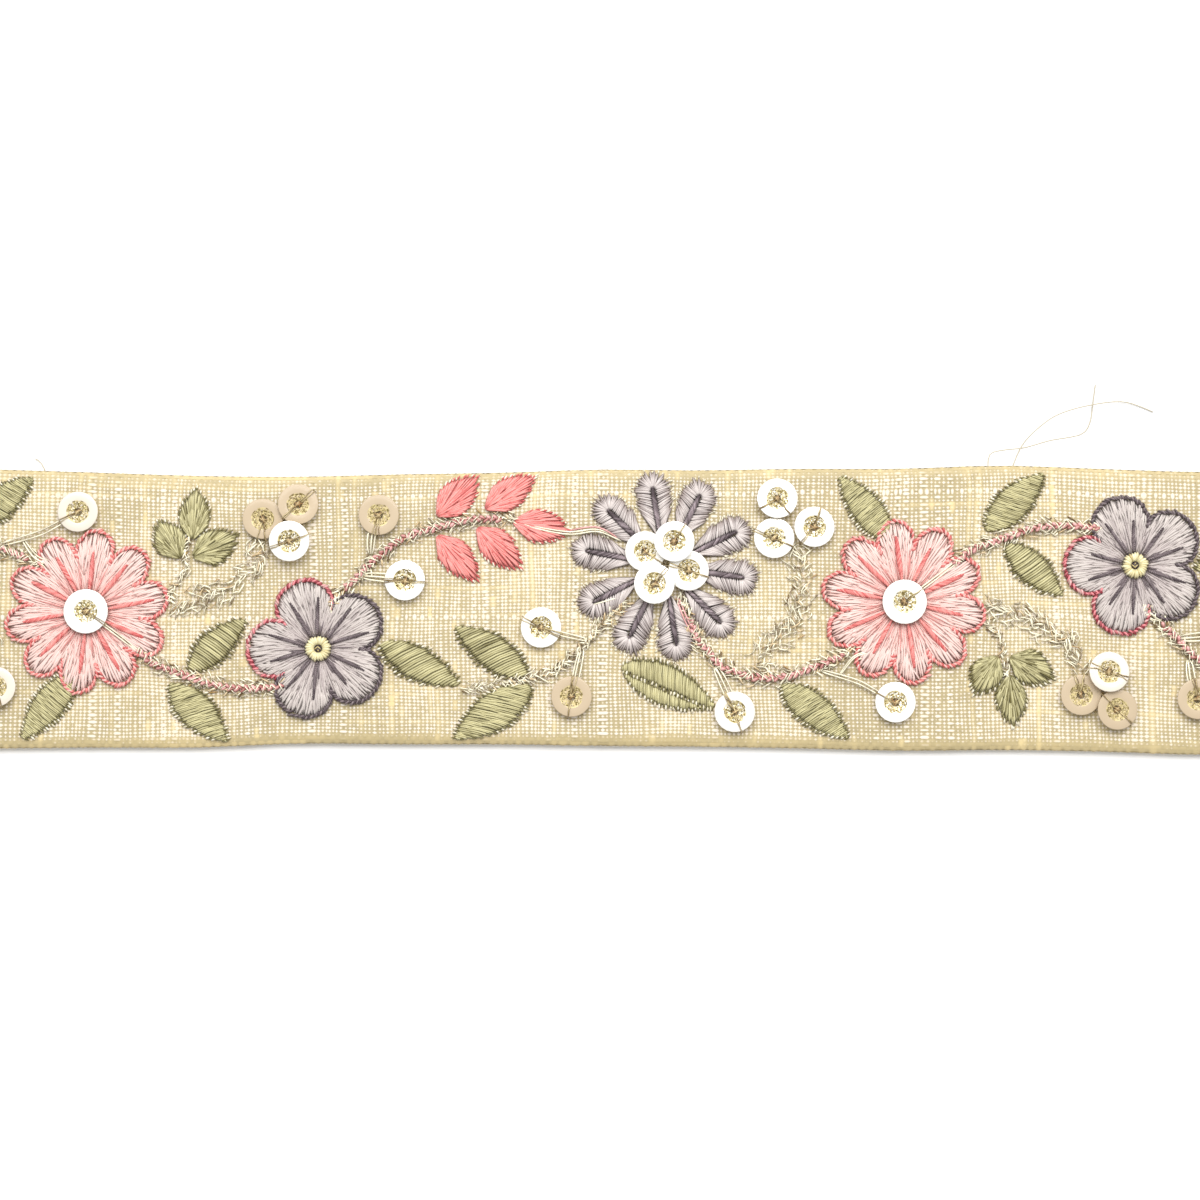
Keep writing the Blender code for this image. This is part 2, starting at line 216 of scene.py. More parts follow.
# Loose strands that run side by side on the cloth
STRAND_COLUMNS = ("count", "spread", "colour", "points")
STRAND_RUNS = (
    (2, 0.35, "gold", ((53.5, 11.0), (56.1, 10.0), (60.2, 9.3), (63.8, 9.6), (66.9, 8.3))),
    (1, 0.2, "coral", ((60.4, 9.6), (63.8, 9.9), (66.9, 8.2))),
    (3, 0.5, "gold", ((35.4, 6.6), (35.6, 9.0), (36.4, 11.2))),
    (3, 0.55, "gold", ((34.3, 3.9), (36.8, 3.7), (39.7, 3.3))),
    (2, 0.35, "gold", ((62.6, -4.2), (59.1, -3.4), (56.7, -2.6))),
    (3, 0.45, "gold", ((61.8, -5.0), (61.2, -7.6), (60.5, -11.0))),
    (3, 0.5, "gold", ((78.4, -7.4), (79.8, -10.4), (80.8, -12.9))),
    (2, 0.6, "gold", ((91.6, -7.9), (95.9, -9.2), (97.9, -10.2), (100.6, -11.8))),
    (2, 0.45, "coral", ((73.7, 1.2), (74.8, -1.6), (75.9, -3.6))),
    (2, 0.3, "gold", ((0.4, -1.0), (4.2, -3.8), (8.4, -7.1))),
    (1, 0.2, "gold", ((62.5, 0.0), (65.0, 0.6), (68.0, 1.6))),
    (2, 0.3, "gold", ((-4.0, 5.6), (-6.2, 6.2), (-8.2, 8.6))),
)

# Lift is from the face to the sequin's underside. A tilted sequin has its raised side
# towards lean. Bars are the directions of the threads that hold it. White is how much of a
# sequin keeps its white film; the rest is painted beige, as shade away from the light.
SEQUIN_COLUMNS = ("u", "v", "diameter", "lift", "tilt", "lean", "white", "bars")
SEQUINS = (
    (0.0, -0.6, FLOWER_SEQUIN, 0.65, 0, 0, 1.0, (-35,)),
    (21.9, 11.0, 5.0, 0.30, 0, 0, 0.0, (-105, -80)),
    (26.3, 12.8, 5.0, 0.60, 6, 200, 0.0, (45, 225)),
    (25.3, 8.2, 5.0, 1.10, 6, 110, 1.0, (18, 202)),
    (36.4, 11.5, 5.0, 0.30, 0, 0, 0.0, (-105, -95)),
    (39.7, 3.3, 5.0, 0.30, 0, 0, 1.0, (175, 182, -8)),
    (56.7, -2.6, 5.0, 0.30, 0, 0, 1.0, (-24, -18, 150)),
    (60.5, -11.2, 5.0, 0.30, 0, 0, 0.0, (88, 80, -100)),
    (69.7, 6.9, 5.0, 0.60, 0, 0, 0.9, (-35,)),
    (73.3, 8.1, 5.0, 1.25, 2, 90, 1.0, (55,)),
    (70.8, 2.8, 5.0, 1.25, 2, 250, 1.0, (50,)),
    (75.1, 4.5, 5.0, 0.60, 0, 0, 0.9, (-20, 160)),
    (86.2, 13.5, 5.0, 0.60, 6, 270, 1.0, (-52, 214)),
    (85.8, 8.6, 5.0, 0.30, 0, 0, 1.0, (160, -22)),
    (90.8, 10.0, 5.0, 0.45, 3, 150, 1.0, (72, -128)),
    (80.8, -13.1, 5.0, 0.30, 0, 0, 0.8, (115, 125, -72)),
    (100.8, -11.9, 5.0, 0.30, 0, 0, 1.0, (150,)),
)

# Thin threads that lie loose past the top edge, in millimetres on the ribbon
LOOSE_THREADS = (
    (
        (52.9, 17.2),
        (53.2, 19.5),
        (55.0, 20.1),
        (57.6, 20.4),
        (60.8, 21.3),
        (64.7, 22.1),
        (65.9, 23.6),
        (66.3, 25.8),
        (66.7, 28.5),
    ),
    (
        (55.7, 17.2),
        (57.3, 20.7),
        (59.6, 23.1),
        (62.1, 24.7),
        (65.9, 25.8),
        (69.8, 26.3),
        (72.3, 25.7),
        (73.9, 25.0),
    ),
    ((-65.2, 17.0), (-65.9, 18.4), (-66.8, 19.1)),
)


def linear(red, green, blue):
    """A colour given in screen levels from 0 to 255, as Blender's linear values."""
    levels = np.array((red, green, blue)) / 255
    curved = ((levels + 0.055) / 1.055) ** 2.4
    return tuple(float(level) for level in np.where(levels < 0.04045, levels / 12.92, curved))


# Threads whose colours go with the ones in the settings. Each dark colour is also the
# painted shade on its threads' sides, underside and stitch ends
PINK_WARM = linear(238, 188, 180)
SILVER_WARM = linear(180, 166, 164)
ROSY = linear(232, 140, 145)
ROSY_DARK = linear(140, 40, 52)
EYELET = linear(246, 238, 194)
EYELET_DARK = linear(180, 160, 100)
GREY = linear(218, 208, 203)
GREY_DARK = linear(120, 106, 104)
GREY_WARM = linear(150, 128, 116)
SLIT = linear(172, 156, 160)
GOLD_WARM = linear(200, 160, 96)
MAUVE = linear(238, 182, 178)
MAUVE_DARK = linear(146, 64, 56)
MAUVE_WARM = linear(140, 88, 52)
HOLDING = linear(236, 218, 168)
HOLDING_DARK = linear(122, 96, 50)
HOLDING_WARM = linear(150, 108, 62)
BOBBIN_DARK = linear(206, 194, 160)


def colour_setting(name, description, *levels):
    return bpy.props.FloatVectorProperty(
        name=name, description=description, subtype="COLOR", size=3, min=0, max=1, default=linear(*levels)
    )


def length_setting(name, description, millimetres):
    return bpy.props.FloatProperty(
        name=name,
        description=description,
        subtype="DISTANCE",
        unit="LENGTH",
        precision=5,
        min=0,
        default=millimetres * MM,
    )


class RibbonClothSettings(bpy.types.PropertyGroup):
    step_along: length_setting("Step along", "Distance between the yarns that cross the ribbon", 0.52)
    step_across: length_setting("Step across", "Distance between the yarns that run along the ribbon", 0.44)
    yarn_rise: length_setting("Yarn rise", "How far a yarn goes up and down as it is woven", 0.035)
    fold_width: length_setting("Fold width", "How far in from an edge the cloth starts to turn under", 1.3)
    sheet: length_setting("Cloth", "Thickness of the cloth under the yarns", 0.30)
    light: colour_setting("Light yarn", "Colour of a yarn on top", 236, 226, 213)
    # The dark yarn colour is also the painted shade where a yarn dips under another, along its sides and on
    # the lower fold. The colour deep between the yarns is painted shade.
    dark: colour_setting("Dark yarn", "Colour of a yarn where it dips under another", 170, 155, 116)
    slub: colour_setting("Slub", "Colour of the thick unbleached places in a yarn", 228, 206, 152)
    gap: colour_setting("Gap shade", "Colour deep between the yarns", 172, 158, 114)


class RibbonThreadSettings(bpy.types.PropertyGroup):
    satin_step: length_setting("Satin step", "Distance between satin stitches in a leaf", 0.29)
    fill_step: length_setting("Fill step", "Distance between the stitches that fill a petal", 0.24)
    # Each shade colour is a thread's darkest stitches, and also the painted shade on the sides, underside
    # and ends of its stitches
    pink: colour_setting("Pink", "Fill of the pink flowers", 236, 208, 199)
    pink_dark: colour_setting("Pink shade", "Darkest stitches of the pink fill", 216, 168, 157)
    coral: colour_setting("Coral", "Coral leaves and outlines", 240, 156, 148)
    coral_dark: colour_setting("Coral shade", "Darkest coral stitches", 196, 84, 82)
    silver: colour_setting("Silver", "Fill of the violet flowers", 208, 198, 191)
    silver_dark: colour_setting("Silver shade", "Darkest stitches of that fill", 132, 116, 116)
    violet: colour_setting("Violet", "Streaks, slits and outlines", 128, 114, 116)
    violet_dark: colour_setting("Violet shade", "Darkest violet stitches", 70, 56, 60)
    green: colour_setting("Green", "Leaves", 208, 200, 152)
    green_dark: colour_setting("Green shade", "Darkest leaf stitches", 104, 95, 46)
    gold: colour_setting("Gold", "Metal thread", 255, 249, 222)
    gold_dark: colour_setting("Gold shade", "Darkest metal thread", 112, 86, 46)
    bobbin: colour_setting("Bobbin", "Thread that shows at the stitch ends", 242, 236, 216)


class RibbonSequinSettings(bpy.types.PropertyGroup):
    hole: length_setting("Hole", "Diameter of the hole", 1.1)
    film: length_setting("Film", "Thickness of the film", 0.12)
    cup_depth: length_setting("Cup", "Depth of the cup", 0.30)
    # Beige is painted shade on sequins that face away from the light. The cup and facet colours paint the
    # shade and the dark reflections on the facets of a cup
    white: colour_setting("White", "Pearly sequins", 255, 253, 246)
    cup: colour_setting("Cup", "Colour of the facets that catch no light", 218, 200, 142)
    beige: colour_setting("Beige", "Sequins that face away from the light", 194, 174, 144)
    facet_dark_reflection: colour_setting("Facet", "Darkest facet of the cup", 122, 104, 52)


class RibbonStudioSettings(bpy.types.PropertyGroup):
    frame_width: length_setting("Frame width", "Width of the picture at the ribbon", 150.1)
    elevation: bpy.props.FloatProperty(
        name="Elevation",
        description="Height of the camera above the horizon",
        subtype="ANGLE",
        default=math.radians(86),
    )
    key_power: bpy.props.FloatProperty(
        name="Key light", description="Power of the large soft light", default=4.4, min=0, unit="POWER"
    )
    sky: bpy.props.FloatProperty(
        name="Sky", description="Strength of the white surroundings", default=0.66, min=0
    )


def edge_lines():
    """Where the two long edges run: places along, bottom edge and top edge, in millimetres."""
    near = 0.05
    least_width = 30
    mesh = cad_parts["ribbon"].data
    points = np.array([vertex.co for vertex in mesh.vertices]) / MM
    places = []
    bottom = []
    top = []
    for place in np.linspace(-LENGTH / 2, LENGTH / 2, SECTIONS + 1):
        across = points[np.abs(points[:, 0] - place) < near, 1]
        if len(across) and np.ptp(across) > least_width:
            places.append(place)
            bottom.append(across.min())
            top.append(across.max())
    return np.array(places), np.array(bottom), np.array(top)


def side_of(repeat):
    """-1 in a half repeat that is laid mirrored, and 1 in the others."""
    return -1 if repeat % 2 else 1


def lay(points, repeat):
    """Plan points of a half repeat, in millimetres on the ribbon."""
    points = np.asarray(points, float)
    x = FIRST_FLOWER_X + repeat * HALF_REPEAT + points[..., 0]
    return np.stack((x, MIRROR_LINE_Y + side_of(repeat) * points[..., 1]), axis=-1)


def unit(degrees):
    turn = np.radians(degrees)
    return np.stack((np.cos(turn), np.sin(turn)), axis=-1)


def rows(columns, table):
    """Each row of a table as a dictionary."""
    return [dict(zip(columns, values)) for values in table]


def smooth_route(points, step):
    """Points about a step apart on a smooth curve through the given ones."""
    points = np.asarray(points, float)
    ends = np.vstack((2 * points[0] - points[1], points, 2 * points[-1] - points[-2]))
    route = [points[0]]
    for i in range(1, len(ends) - 2):
        a, b, c, d = ends[i - 1 : i + 3]
        parts = max(2, round(np.linalg.norm(c - b) / step))
        for t in np.arange(1, parts + 1) / parts:
            start = (2 * t**3 - 3 * t**2 + 1) * b + (t**3 - 2 * t**2 + t) * (c - a) / 2
            end = (3 * t**2 - 2 * t**3) * c + (t**3 - t**2) * (d - b) / 2
            route.append(start + end)
    return np.array(route)


def even_route(points, step):
    """Points an even step apart on a smooth curve, and the direction at each."""
    route = smooth_route(points, step / 3)
    run = np.concatenate(([0], np.cumsum(np.linalg.norm(np.diff(route, axis=0), axis=1))))
    places = np.arange(0, run[-1], step)
    even = np.stack([np.interp(places, run, route[:, k]) for k in range(2)], axis=-1)
    ahead = np.gradient(even, axis=0)
    return even, ahead / np.linalg.norm(ahead, axis=1, keepdims=True)


def left_of(direction):
    return np.stack((-direction[..., 1], direction[..., 0]), axis=-1)


# Cross sections of a thread, as steps to its side and upwards
ROUND_THREAD = np.array(((0, -1), (1, 0), (0, 1), (-1, 0)), float)
WOVEN_YARN = np.array(((1, -0.6), (0, 1), (-1, -0.6)), float)


class Bundle:
    """Threads that are gathered first and then made into one closed mesh."""

    def __init__(self):
        self.batches = []

    def add(self, path, half, tone, warm=0.0, section=ROUND_THREAD, up=(0, 0, 1), flat=1.0, rim=0.35):
        """path is (threads, samples, 3); half width, tone, warmth and rim may differ at each sample.

        rim is painted shade: how much darker a thread is painted at its underside than on top,
        and its sides in between by their height.
        """
        path = np.asarray(path, float)
        if len(path) == 0:
            return
        middle = path[:, path.shape[1] // 2, 0]
        kept = np.abs(middle) < STITCH_END
        if not kept.any():
            return
        shape = path.shape[:2]
        values = {"half": half, "tone": tone, "warm": warm, "rim": rim}
        batch = {name: np.broadcast_to(value, shape)[kept] for name, value in values.items()}
        batch["path"] = path[kept]
        batch["up"] = np.broadcast_to(up, path.shape)[kept]
        batch["section"] = section
        batch["flat"] = flat
        self.batches.append(batch)

    def stitch(
        self, repeat, start, end, heights, half, tone, warm=0.0, taper=0.55, bow=0.0, flat=1.0, rim=0.35
    ):
        """Straight stitches between plan points of a half repeat, with the heights above the face."""
        start = np.asarray(start, float)
        end = np.asarray(end, float)
        heights = np.asarray(heights, float)
        samples = heights.shape[-1]
        share = 0.5 - 0.5 * np.cos(np.pi * np.linspace(0, 1, samples))
        plan = start[:, None] + (end - start)[:, None] * share[None, :, None]
        side = left_of(end - start)
        bow = np.reshape(bow, (-1, 1)) * np.sin(np.pi * share)
        plan = plan + side[:, None] * bow[..., None]
        heights = np.broadcast_to(heights, plan.shape[:2])
        path = np.concatenate((lay(plan, repeat), (FACE_Z + heights)[..., None]), axis=-1)
        width = np.ones(samples)
        width[0] = width[-1] = taper
        half = np.broadcast_to(np.reshape(half, (-1, 1)), plan.shape[:2]) * width
        tone = np.asarray(tone, float)
        if tone.ndim == 1:
            tone = tone[:, None]
        self.add(path, half, tone, warm, flat=flat, rim=rim)

    @staticmethod
    def thread_points(batch):
        path, up = batch["path"], batch["up"]
        ahead = np.gradient(path, axis=1)
        side = np.cross(ahead, up)
        side = side / np.maximum(np.linalg.norm(side, axis=-1, keepdims=True), 1e-9)
        section = batch["section"]
        half = batch["half"][..., None, None]
        points = path[:, :, None] + side[:, :, None] * half * section[:, :1]
        points = points + up[:, :, None] * half * batch["flat"] * section[:, 1:]
        points[..., 0] = np.clip(points[..., 0], -LENGTH / 2, LENGTH / 2)
        return points

    @staticmethod
    def corner_places(batch, low, high):
        """The bake map: each thread has a cell of its own, along it to the right, round it upwards."""
        count, samples = batch["path"].shape[:2]
        sides = len(batch["section"])
        length = np.linalg.norm(np.diff(batch["path"], axis=1), axis=-1).sum(axis=1).mean()
        girth = 6 * batch["half"].mean()
        columns = max(1, round(math.sqrt(count * girth / length)))
        lines = math.ceil(count / columns)
        number = np.arange(count)
        wide = 1 / columns
        tall = (high - low) / lines
        left = (number % columns) * wide
        floor = low + (number // columns) * tall
        along = left[:, None] + wide * (0.05 + 0.9 * np.arange(samples) / (samples - 1))
        around = floor[:, None] + tall * (0.06 + 0.88 * np.arange(sides + 1) / sides)
        corners = np.empty((count, samples - 1, sides, 4, 2))
        corners[..., 0, 0] = corners[..., 3, 0] = along[:, :-1, None]
        corners[..., 1, 0] = corners[..., 2, 0] = along[:, 1:, None]
        corners[..., 0, 1] = corners[..., 1, 1] = around[:, None, :-1]
        corners[..., 2, 1] = corners[..., 3, 1] = around[:, None, 1:]
        box = np.array(((0, 0), (1, 0), (1, 1), (0, 1)))[:sides]
        margin = np.array((0.04 * wide, 0.8 * tall))
        first = np.stack((left, floor + 0.1 * tall), axis=-1)[:, None] + box * margin
        last = first + np.array((0.96 * wide, 0))
        return corners, np.concatenate((first, last))

    def piece(self, name, material, slot, crisp=False):
        """The gathered threads as one piece of the ribbon. A crisp one keeps its long edges sharp."""
        weights = []
        for batch in self.batches:
            length = np.linalg.norm(np.diff(batch["path"], axis=1), axis=-1).sum()
            weights.append(length * batch["half"].mean())
        bounds = np.concatenate(([0], np.cumsum(weights) / sum(weights)))
        points, quads, caps, quad_places, cap_places = [], [], [], [], []
        marks = {"tone": [], "warm": [], "along": [], "around": []}
        offset = 0
        for batch, low, high in zip(self.batches, bounds, bounds[1:]):
            rings = self.thread_points(batch)
            count, samples, sides = rings.shape[:3]
            index = offset + np.arange(count * samples * sides).reshape(count, samples, sides)
            around = np.roll(index, -1, axis=2)
            faces = np.stack((index[:, :-1], index[:, 1:], around[:, 1:], around[:, :-1]), axis=-1)
            quads.append(faces.reshape(-1, 4))
            caps.extend(index[:, 0])
            caps.extend(index[:, -1, ::-1])
            body, ends = self.corner_places(batch, low, high)
            quad_places.append(body.reshape(-1, 2))
            cap_places.append(ends.reshape(-1, 2))
            points.append(rings.reshape(-1, 3))
            run = np.linalg.norm(np.diff(batch["path"], axis=1), axis=-1)
            run = np.concatenate((np.zeros((count, 1)), np.cumsum(run, axis=1)), axis=1)
            spread = np.ones((1, 1, sides))
            # Painted shade: a thread's tone falls by its rim from the top towards the underside
            shade = batch["rim"][..., None] * (1 - batch["section"][:, 1]) / 2
            marks["tone"].append((batch["tone"][..., None] - shade).ravel())
            marks["warm"].append((batch["warm"][..., None] * spread).ravel())
            marks["along"].append((run[..., None] * spread).ravel())
            marks["around"].append(np.broadcast_to(np.arange(sides) / sides, rings.shape[:3]).ravel())
            offset += count * samples * sides
        mesh = mesh_of(name, np.concatenate(points) * MM, np.concatenate(quads), caps)
        bake_map = mesh.uv_layers.new(name="OFBake")
        places = np.concatenate((*quad_places, *cap_places))
        bake_map.data.foreach_set("uv", places.ravel())
        for mark, values in marks.items():
            store = mesh.attributes.new(mark, "FLOAT", "POINT")
            store.data.foreach_set("value", np.concatenate(values))
        mesh.update(calc_edges=True)
        mesh.validate()
        mesh.shade_smooth()
        if crisp:
            mesh.set_sharp_from_angle(angle=math.radians(60))
        mesh.materials.append(material)
        return keep_piece(name, mesh)


def mesh_of(name, points, quads, caps):
    """A mesh from its points, its faces of four corners and the end faces of its threads."""
    mesh = bpy.data.meshes.new(name)
    mesh.vertices.add(len(points))
    mesh.vertices.foreach_set("co", points.ravel())
    corners = np.concatenate((quads.ravel(), np.concatenate(caps)))
    cap_sizes = np.array([len(cap) for cap in caps])
    sizes = np.concatenate((np.full(len(quads), 4), cap_sizes))
    mesh.loops.add(len(corners))
    mesh.loops.foreach_set("vertex_index", corners.astype(np.int32))
    mesh.polygons.add(len(sizes))
    starts = np.concatenate(([0], np.cumsum(sizes)[:-1])).astype(np.int32)
    mesh.polygons.foreach_set("loop_start", starts)
    return mesh


def keep_piece(name, mesh):
    """Puts a finished mesh in the scene as a piece that goes with the ribbon."""
    piece = bpy.data.objects.new(name, mesh)
    bpy.context.scene.collection.objects.link(piece)
    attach(piece, "root")
    return piece


def new_group(name, inputs, outputs):
    """An empty shader group with named sockets, and its two ends."""
    group = bpy.data.node_groups.new(name, "ShaderNodeTree")
    for label, kind, value in inputs:
        socket = group.interface.new_socket(name=label, in_out="INPUT", socket_type=kind)
        socket.default_value = value
    for label, kind in outputs:
        group.interface.new_socket(name=label, in_out="OUTPUT", socket_type=kind)
    return group, group.nodes.new("NodeGroupInput"), group.nodes.new("NodeGroupOutput")


def add_node(tree, kind, inputs=None, **settings):
    """A node with its settings and its inputs, where an input is a value or another node's output."""
    node = tree.nodes.new(kind)
    for name, value in settings.items():
        setattr(node, name, value)
    for name, value in (inputs or {}).items():
        if isinstance(value, bpy.types.NodeSocket):
            tree.links.new(value, node.inputs[name])
        else:
            node.inputs[name].default_value = value
    return node


def calculate(tree, operation, *values):
    inputs = dict(enumerate(values))
    return add_node(tree, "ShaderNodeMath", inputs, operation=operation).outputs[0]


def blend_colour(tree, share, first, second):
    mix = add_node(tree, "ShaderNodeMix", {"Factor": share}, data_type="RGBA")
    for socket, value in ((mix.inputs[6], first), (mix.inputs[7], second)):
        if isinstance(value, bpy.types.NodeSocket):
            tree.links.new(value, socket)
        else:
            socket.default_value = (*value, 1)
    return mix.outputs[2]


def spun_thread_group():
    """The colour and the fine fibres of a thread, from the marks on its mesh. Its tone mark also
    carries painted shade on the sides, underside and stitch ends.
    """
    inputs = (
        ("Dark", "NodeSocketColor", (0.2, 0.2, 0.2, 1)),
        ("Light", "NodeSocketColor", (0.8, 0.8, 0.8, 1)),
        ("Warm", "NodeSocketColor", (0.8, 0.6, 0.3, 1)),
        ("Fibres", "NodeSocketFloat", 0.35),
        ("Twist", "NodeSocketFloat", 0.6),
    )
    outputs = (("Colour", "NodeSocketColor"), ("Height", "NodeSocketFloat"))
    group, given, result = new_group("spun_thread", inputs, outputs)
    mark = {
        name: add_node(group, "ShaderNodeAttribute", attribute_name=name).outputs["Fac"]
        for name in ("tone", "warm", "along", "around")
    }
    turns = calculate(group, "MULTIPLY", mark["along"], given.outputs["Twist"])
    around = calculate(group, "ADD", calculate(group, "MULTIPLY", mark["around"], 4.0), turns)
    place = add_node(group, "ShaderNodeCombineXYZ", {"X": around, "Y": mark["along"]})
    position = add_node(group, "ShaderNodeTexCoord").outputs["Object"]
    spread = {0: position, 1: (900.0, 900.0, 900.0)}
    drift = add_node(group, "ShaderNodeVectorMath", spread, operation="MULTIPLY")
    moved = {0: place.outputs[0], 1: drift.outputs[0]}
    lift = add_node(group, "ShaderNodeVectorMath", moved, operation="ADD")
    noise = {"Vector": lift.outputs[0], "Scale": 2.6, "Detail": 3.0, "Roughness": 0.6}
    fibre = add_node(group, "ShaderNodeTexNoise", noise).outputs["Fac"]
    streak = calculate(group, "MULTIPLY", calculate(group, "SUBTRACT", fibre, 0.5), given.outputs["Fibres"])
    streaked = calculate(group, "ADD", mark["tone"], streak)
    tone = add_node(group, "ShaderNodeClamp", {"Value": streaked}).outputs[0]
    spun = blend_colour(group, tone, given.outputs["Dark"], given.outputs["Light"])
    warmed = blend_colour(group, mark["warm"], spun, given.outputs["Warm"])
    group.links.new(warmed, result.inputs["Colour"])
    group.links.new(fibre, result.inputs["Height"])
    return group


def plain_weave_group():
    """A plain weave drawn on flat cloth, for the places that have no yarns of their own, with
    painted shade where its drawn yarns lie low.
    """
    inputs = (
        ("Yarn", "NodeSocketColor", (0.8, 0.7, 0.5, 1)),
        ("Gap shade", "NodeSocketColor", (0.4, 0.3, 0.15, 1)),
        ("Step along", "NodeSocketFloat", 0.52 * MM),
        ("Step across", "NodeSocketFloat", 0.44 * MM),
    )
    outputs = (("Colour", "NodeSocketColor"), ("Height", "NodeSocketFloat"))
    group, given, result = new_group("plain_weave", inputs, outputs)
    position = add_node(group, "ShaderNodeTexCoord").outputs["Object"]
    wander = add_node(group, "ShaderNodeTexNoise", {"Vector": position, "Scale": 260.0, "Detail": 2.0})
    shift = calculate(group, "MULTIPLY", calculate(group, "SUBTRACT", wander.outputs["Fac"], 0.5), 0.9)
    place = add_node(group, "ShaderNodeSeparateXYZ", {"Vector": position})
    waves = []
    for axis, step in (("X", "Step along"), ("Y", "Step across")):
        turns = calculate(group, "DIVIDE", place.outputs[axis], given.outputs[step])
        turns = calculate(group, "ADD", turns, shift)
        waves.append(calculate(group, "SINE", calculate(group, "MULTIPLY", turns, math.pi)))
    over = calculate(group, "GREATER_THAN", calculate(group, "MULTIPLY", *waves), 0.0)
    ridges = [calculate(group, "POWER", calculate(group, "ABSOLUTE", wave), 0.6) for wave in waves]
    up_yarn = calculate(group, "MULTIPLY", ridges[0], calculate(group, "ADD", ridges[1], 0.5))
    side_yarn = calculate(group, "MULTIPLY", ridges[1], calculate(group, "ADD", ridges[0], 0.5))
    yarns = {"Factor": over, 2: side_yarn, 3: up_yarn}
    height = add_node(group, "ShaderNodeMix", yarns, data_type="FLOAT").outputs[0]
    # Painted shade: the lower the drawn yarns lie, the nearer the colour goes to the shade colour
    scaled = calculate(group, "MULTIPLY", height, 0.8)
    share = add_node(group, "ShaderNodeClamp", {"Value": scaled}).outputs[0]
    colour = blend_colour(group, share, given.outputs["Gap shade"], given.outputs["Yarn"])
    group.links.new(colour, result.inputs["Colour"])
    group.links.new(height, result.inputs["Height"])
    return group


def named_group(name, builder):
    return bpy.data.node_groups.get(name) or builder()


def new_material(name):
    material = bpy.data.materials.new(name)
    material.use_nodes = True
    return material, material.node_tree, material.node_tree.nodes["Principled BSDF"]


def place_group(tree, group, inputs):
    node = tree.nodes.new("ShaderNodeGroup")
    node.node_tree = group
    for name, value in inputs.items():
        if isinstance(value, bpy.types.NodeSocket):
            tree.links.new(value, node.inputs[name])
        elif isinstance(value, (int, float)):
            node.inputs[name].default_value = value
        else:
            node.inputs[name].default_value = (*value, 1)
    return node


def raise_surface(tree, shader, height, strength, distance):
    bump = add_node(tree, "ShaderNodeBump", {"Height": height, "Strength": strength, "Distance": distance})
    tree.links.new(bump.outputs["Normal"], shader.inputs["Normal"])


def thread_material(name, dark, light, warm, rough=0.45, metal=0.0, fibres=0.35, sheen=0.15):
    """A spun thread: dark and light by its tone and painted shade, towards warm by its warmth."""
    material, tree, shader = new_material(name)
    group = named_group("spun_thread", spun_thread_group)
    spun = place_group(tree, group, {"Dark": dark, "Light": light, "Warm": warm, "Fibres": fibres})
    tree.links.new(spun.outputs["Colour"], shader.inputs["Base Color"])
    shader.inputs["Roughness"].default_value = rough
    shader.inputs["Metallic"].default_value = metal
    shader.inputs["Sheen Weight"].default_value = sheen
    shader.inputs["Sheen Roughness"].default_value = 0.4
    raise_surface(tree, shader, spun.outputs["Height"], 0.35, 0.03 * MM)
    return material


def bobbin_material(look):
    made = bpy.data.materials.get("bobbin_thread")
    return made or thread_material("bobbin_thread", BOBBIN_DARK, look.bobbin, look.bobbin)


def select_only(piece):
    bpy.ops.object.select_all(action="DESELECT")
    piece.select_set(True)
    bpy.context.view_layer.objects.active = piece


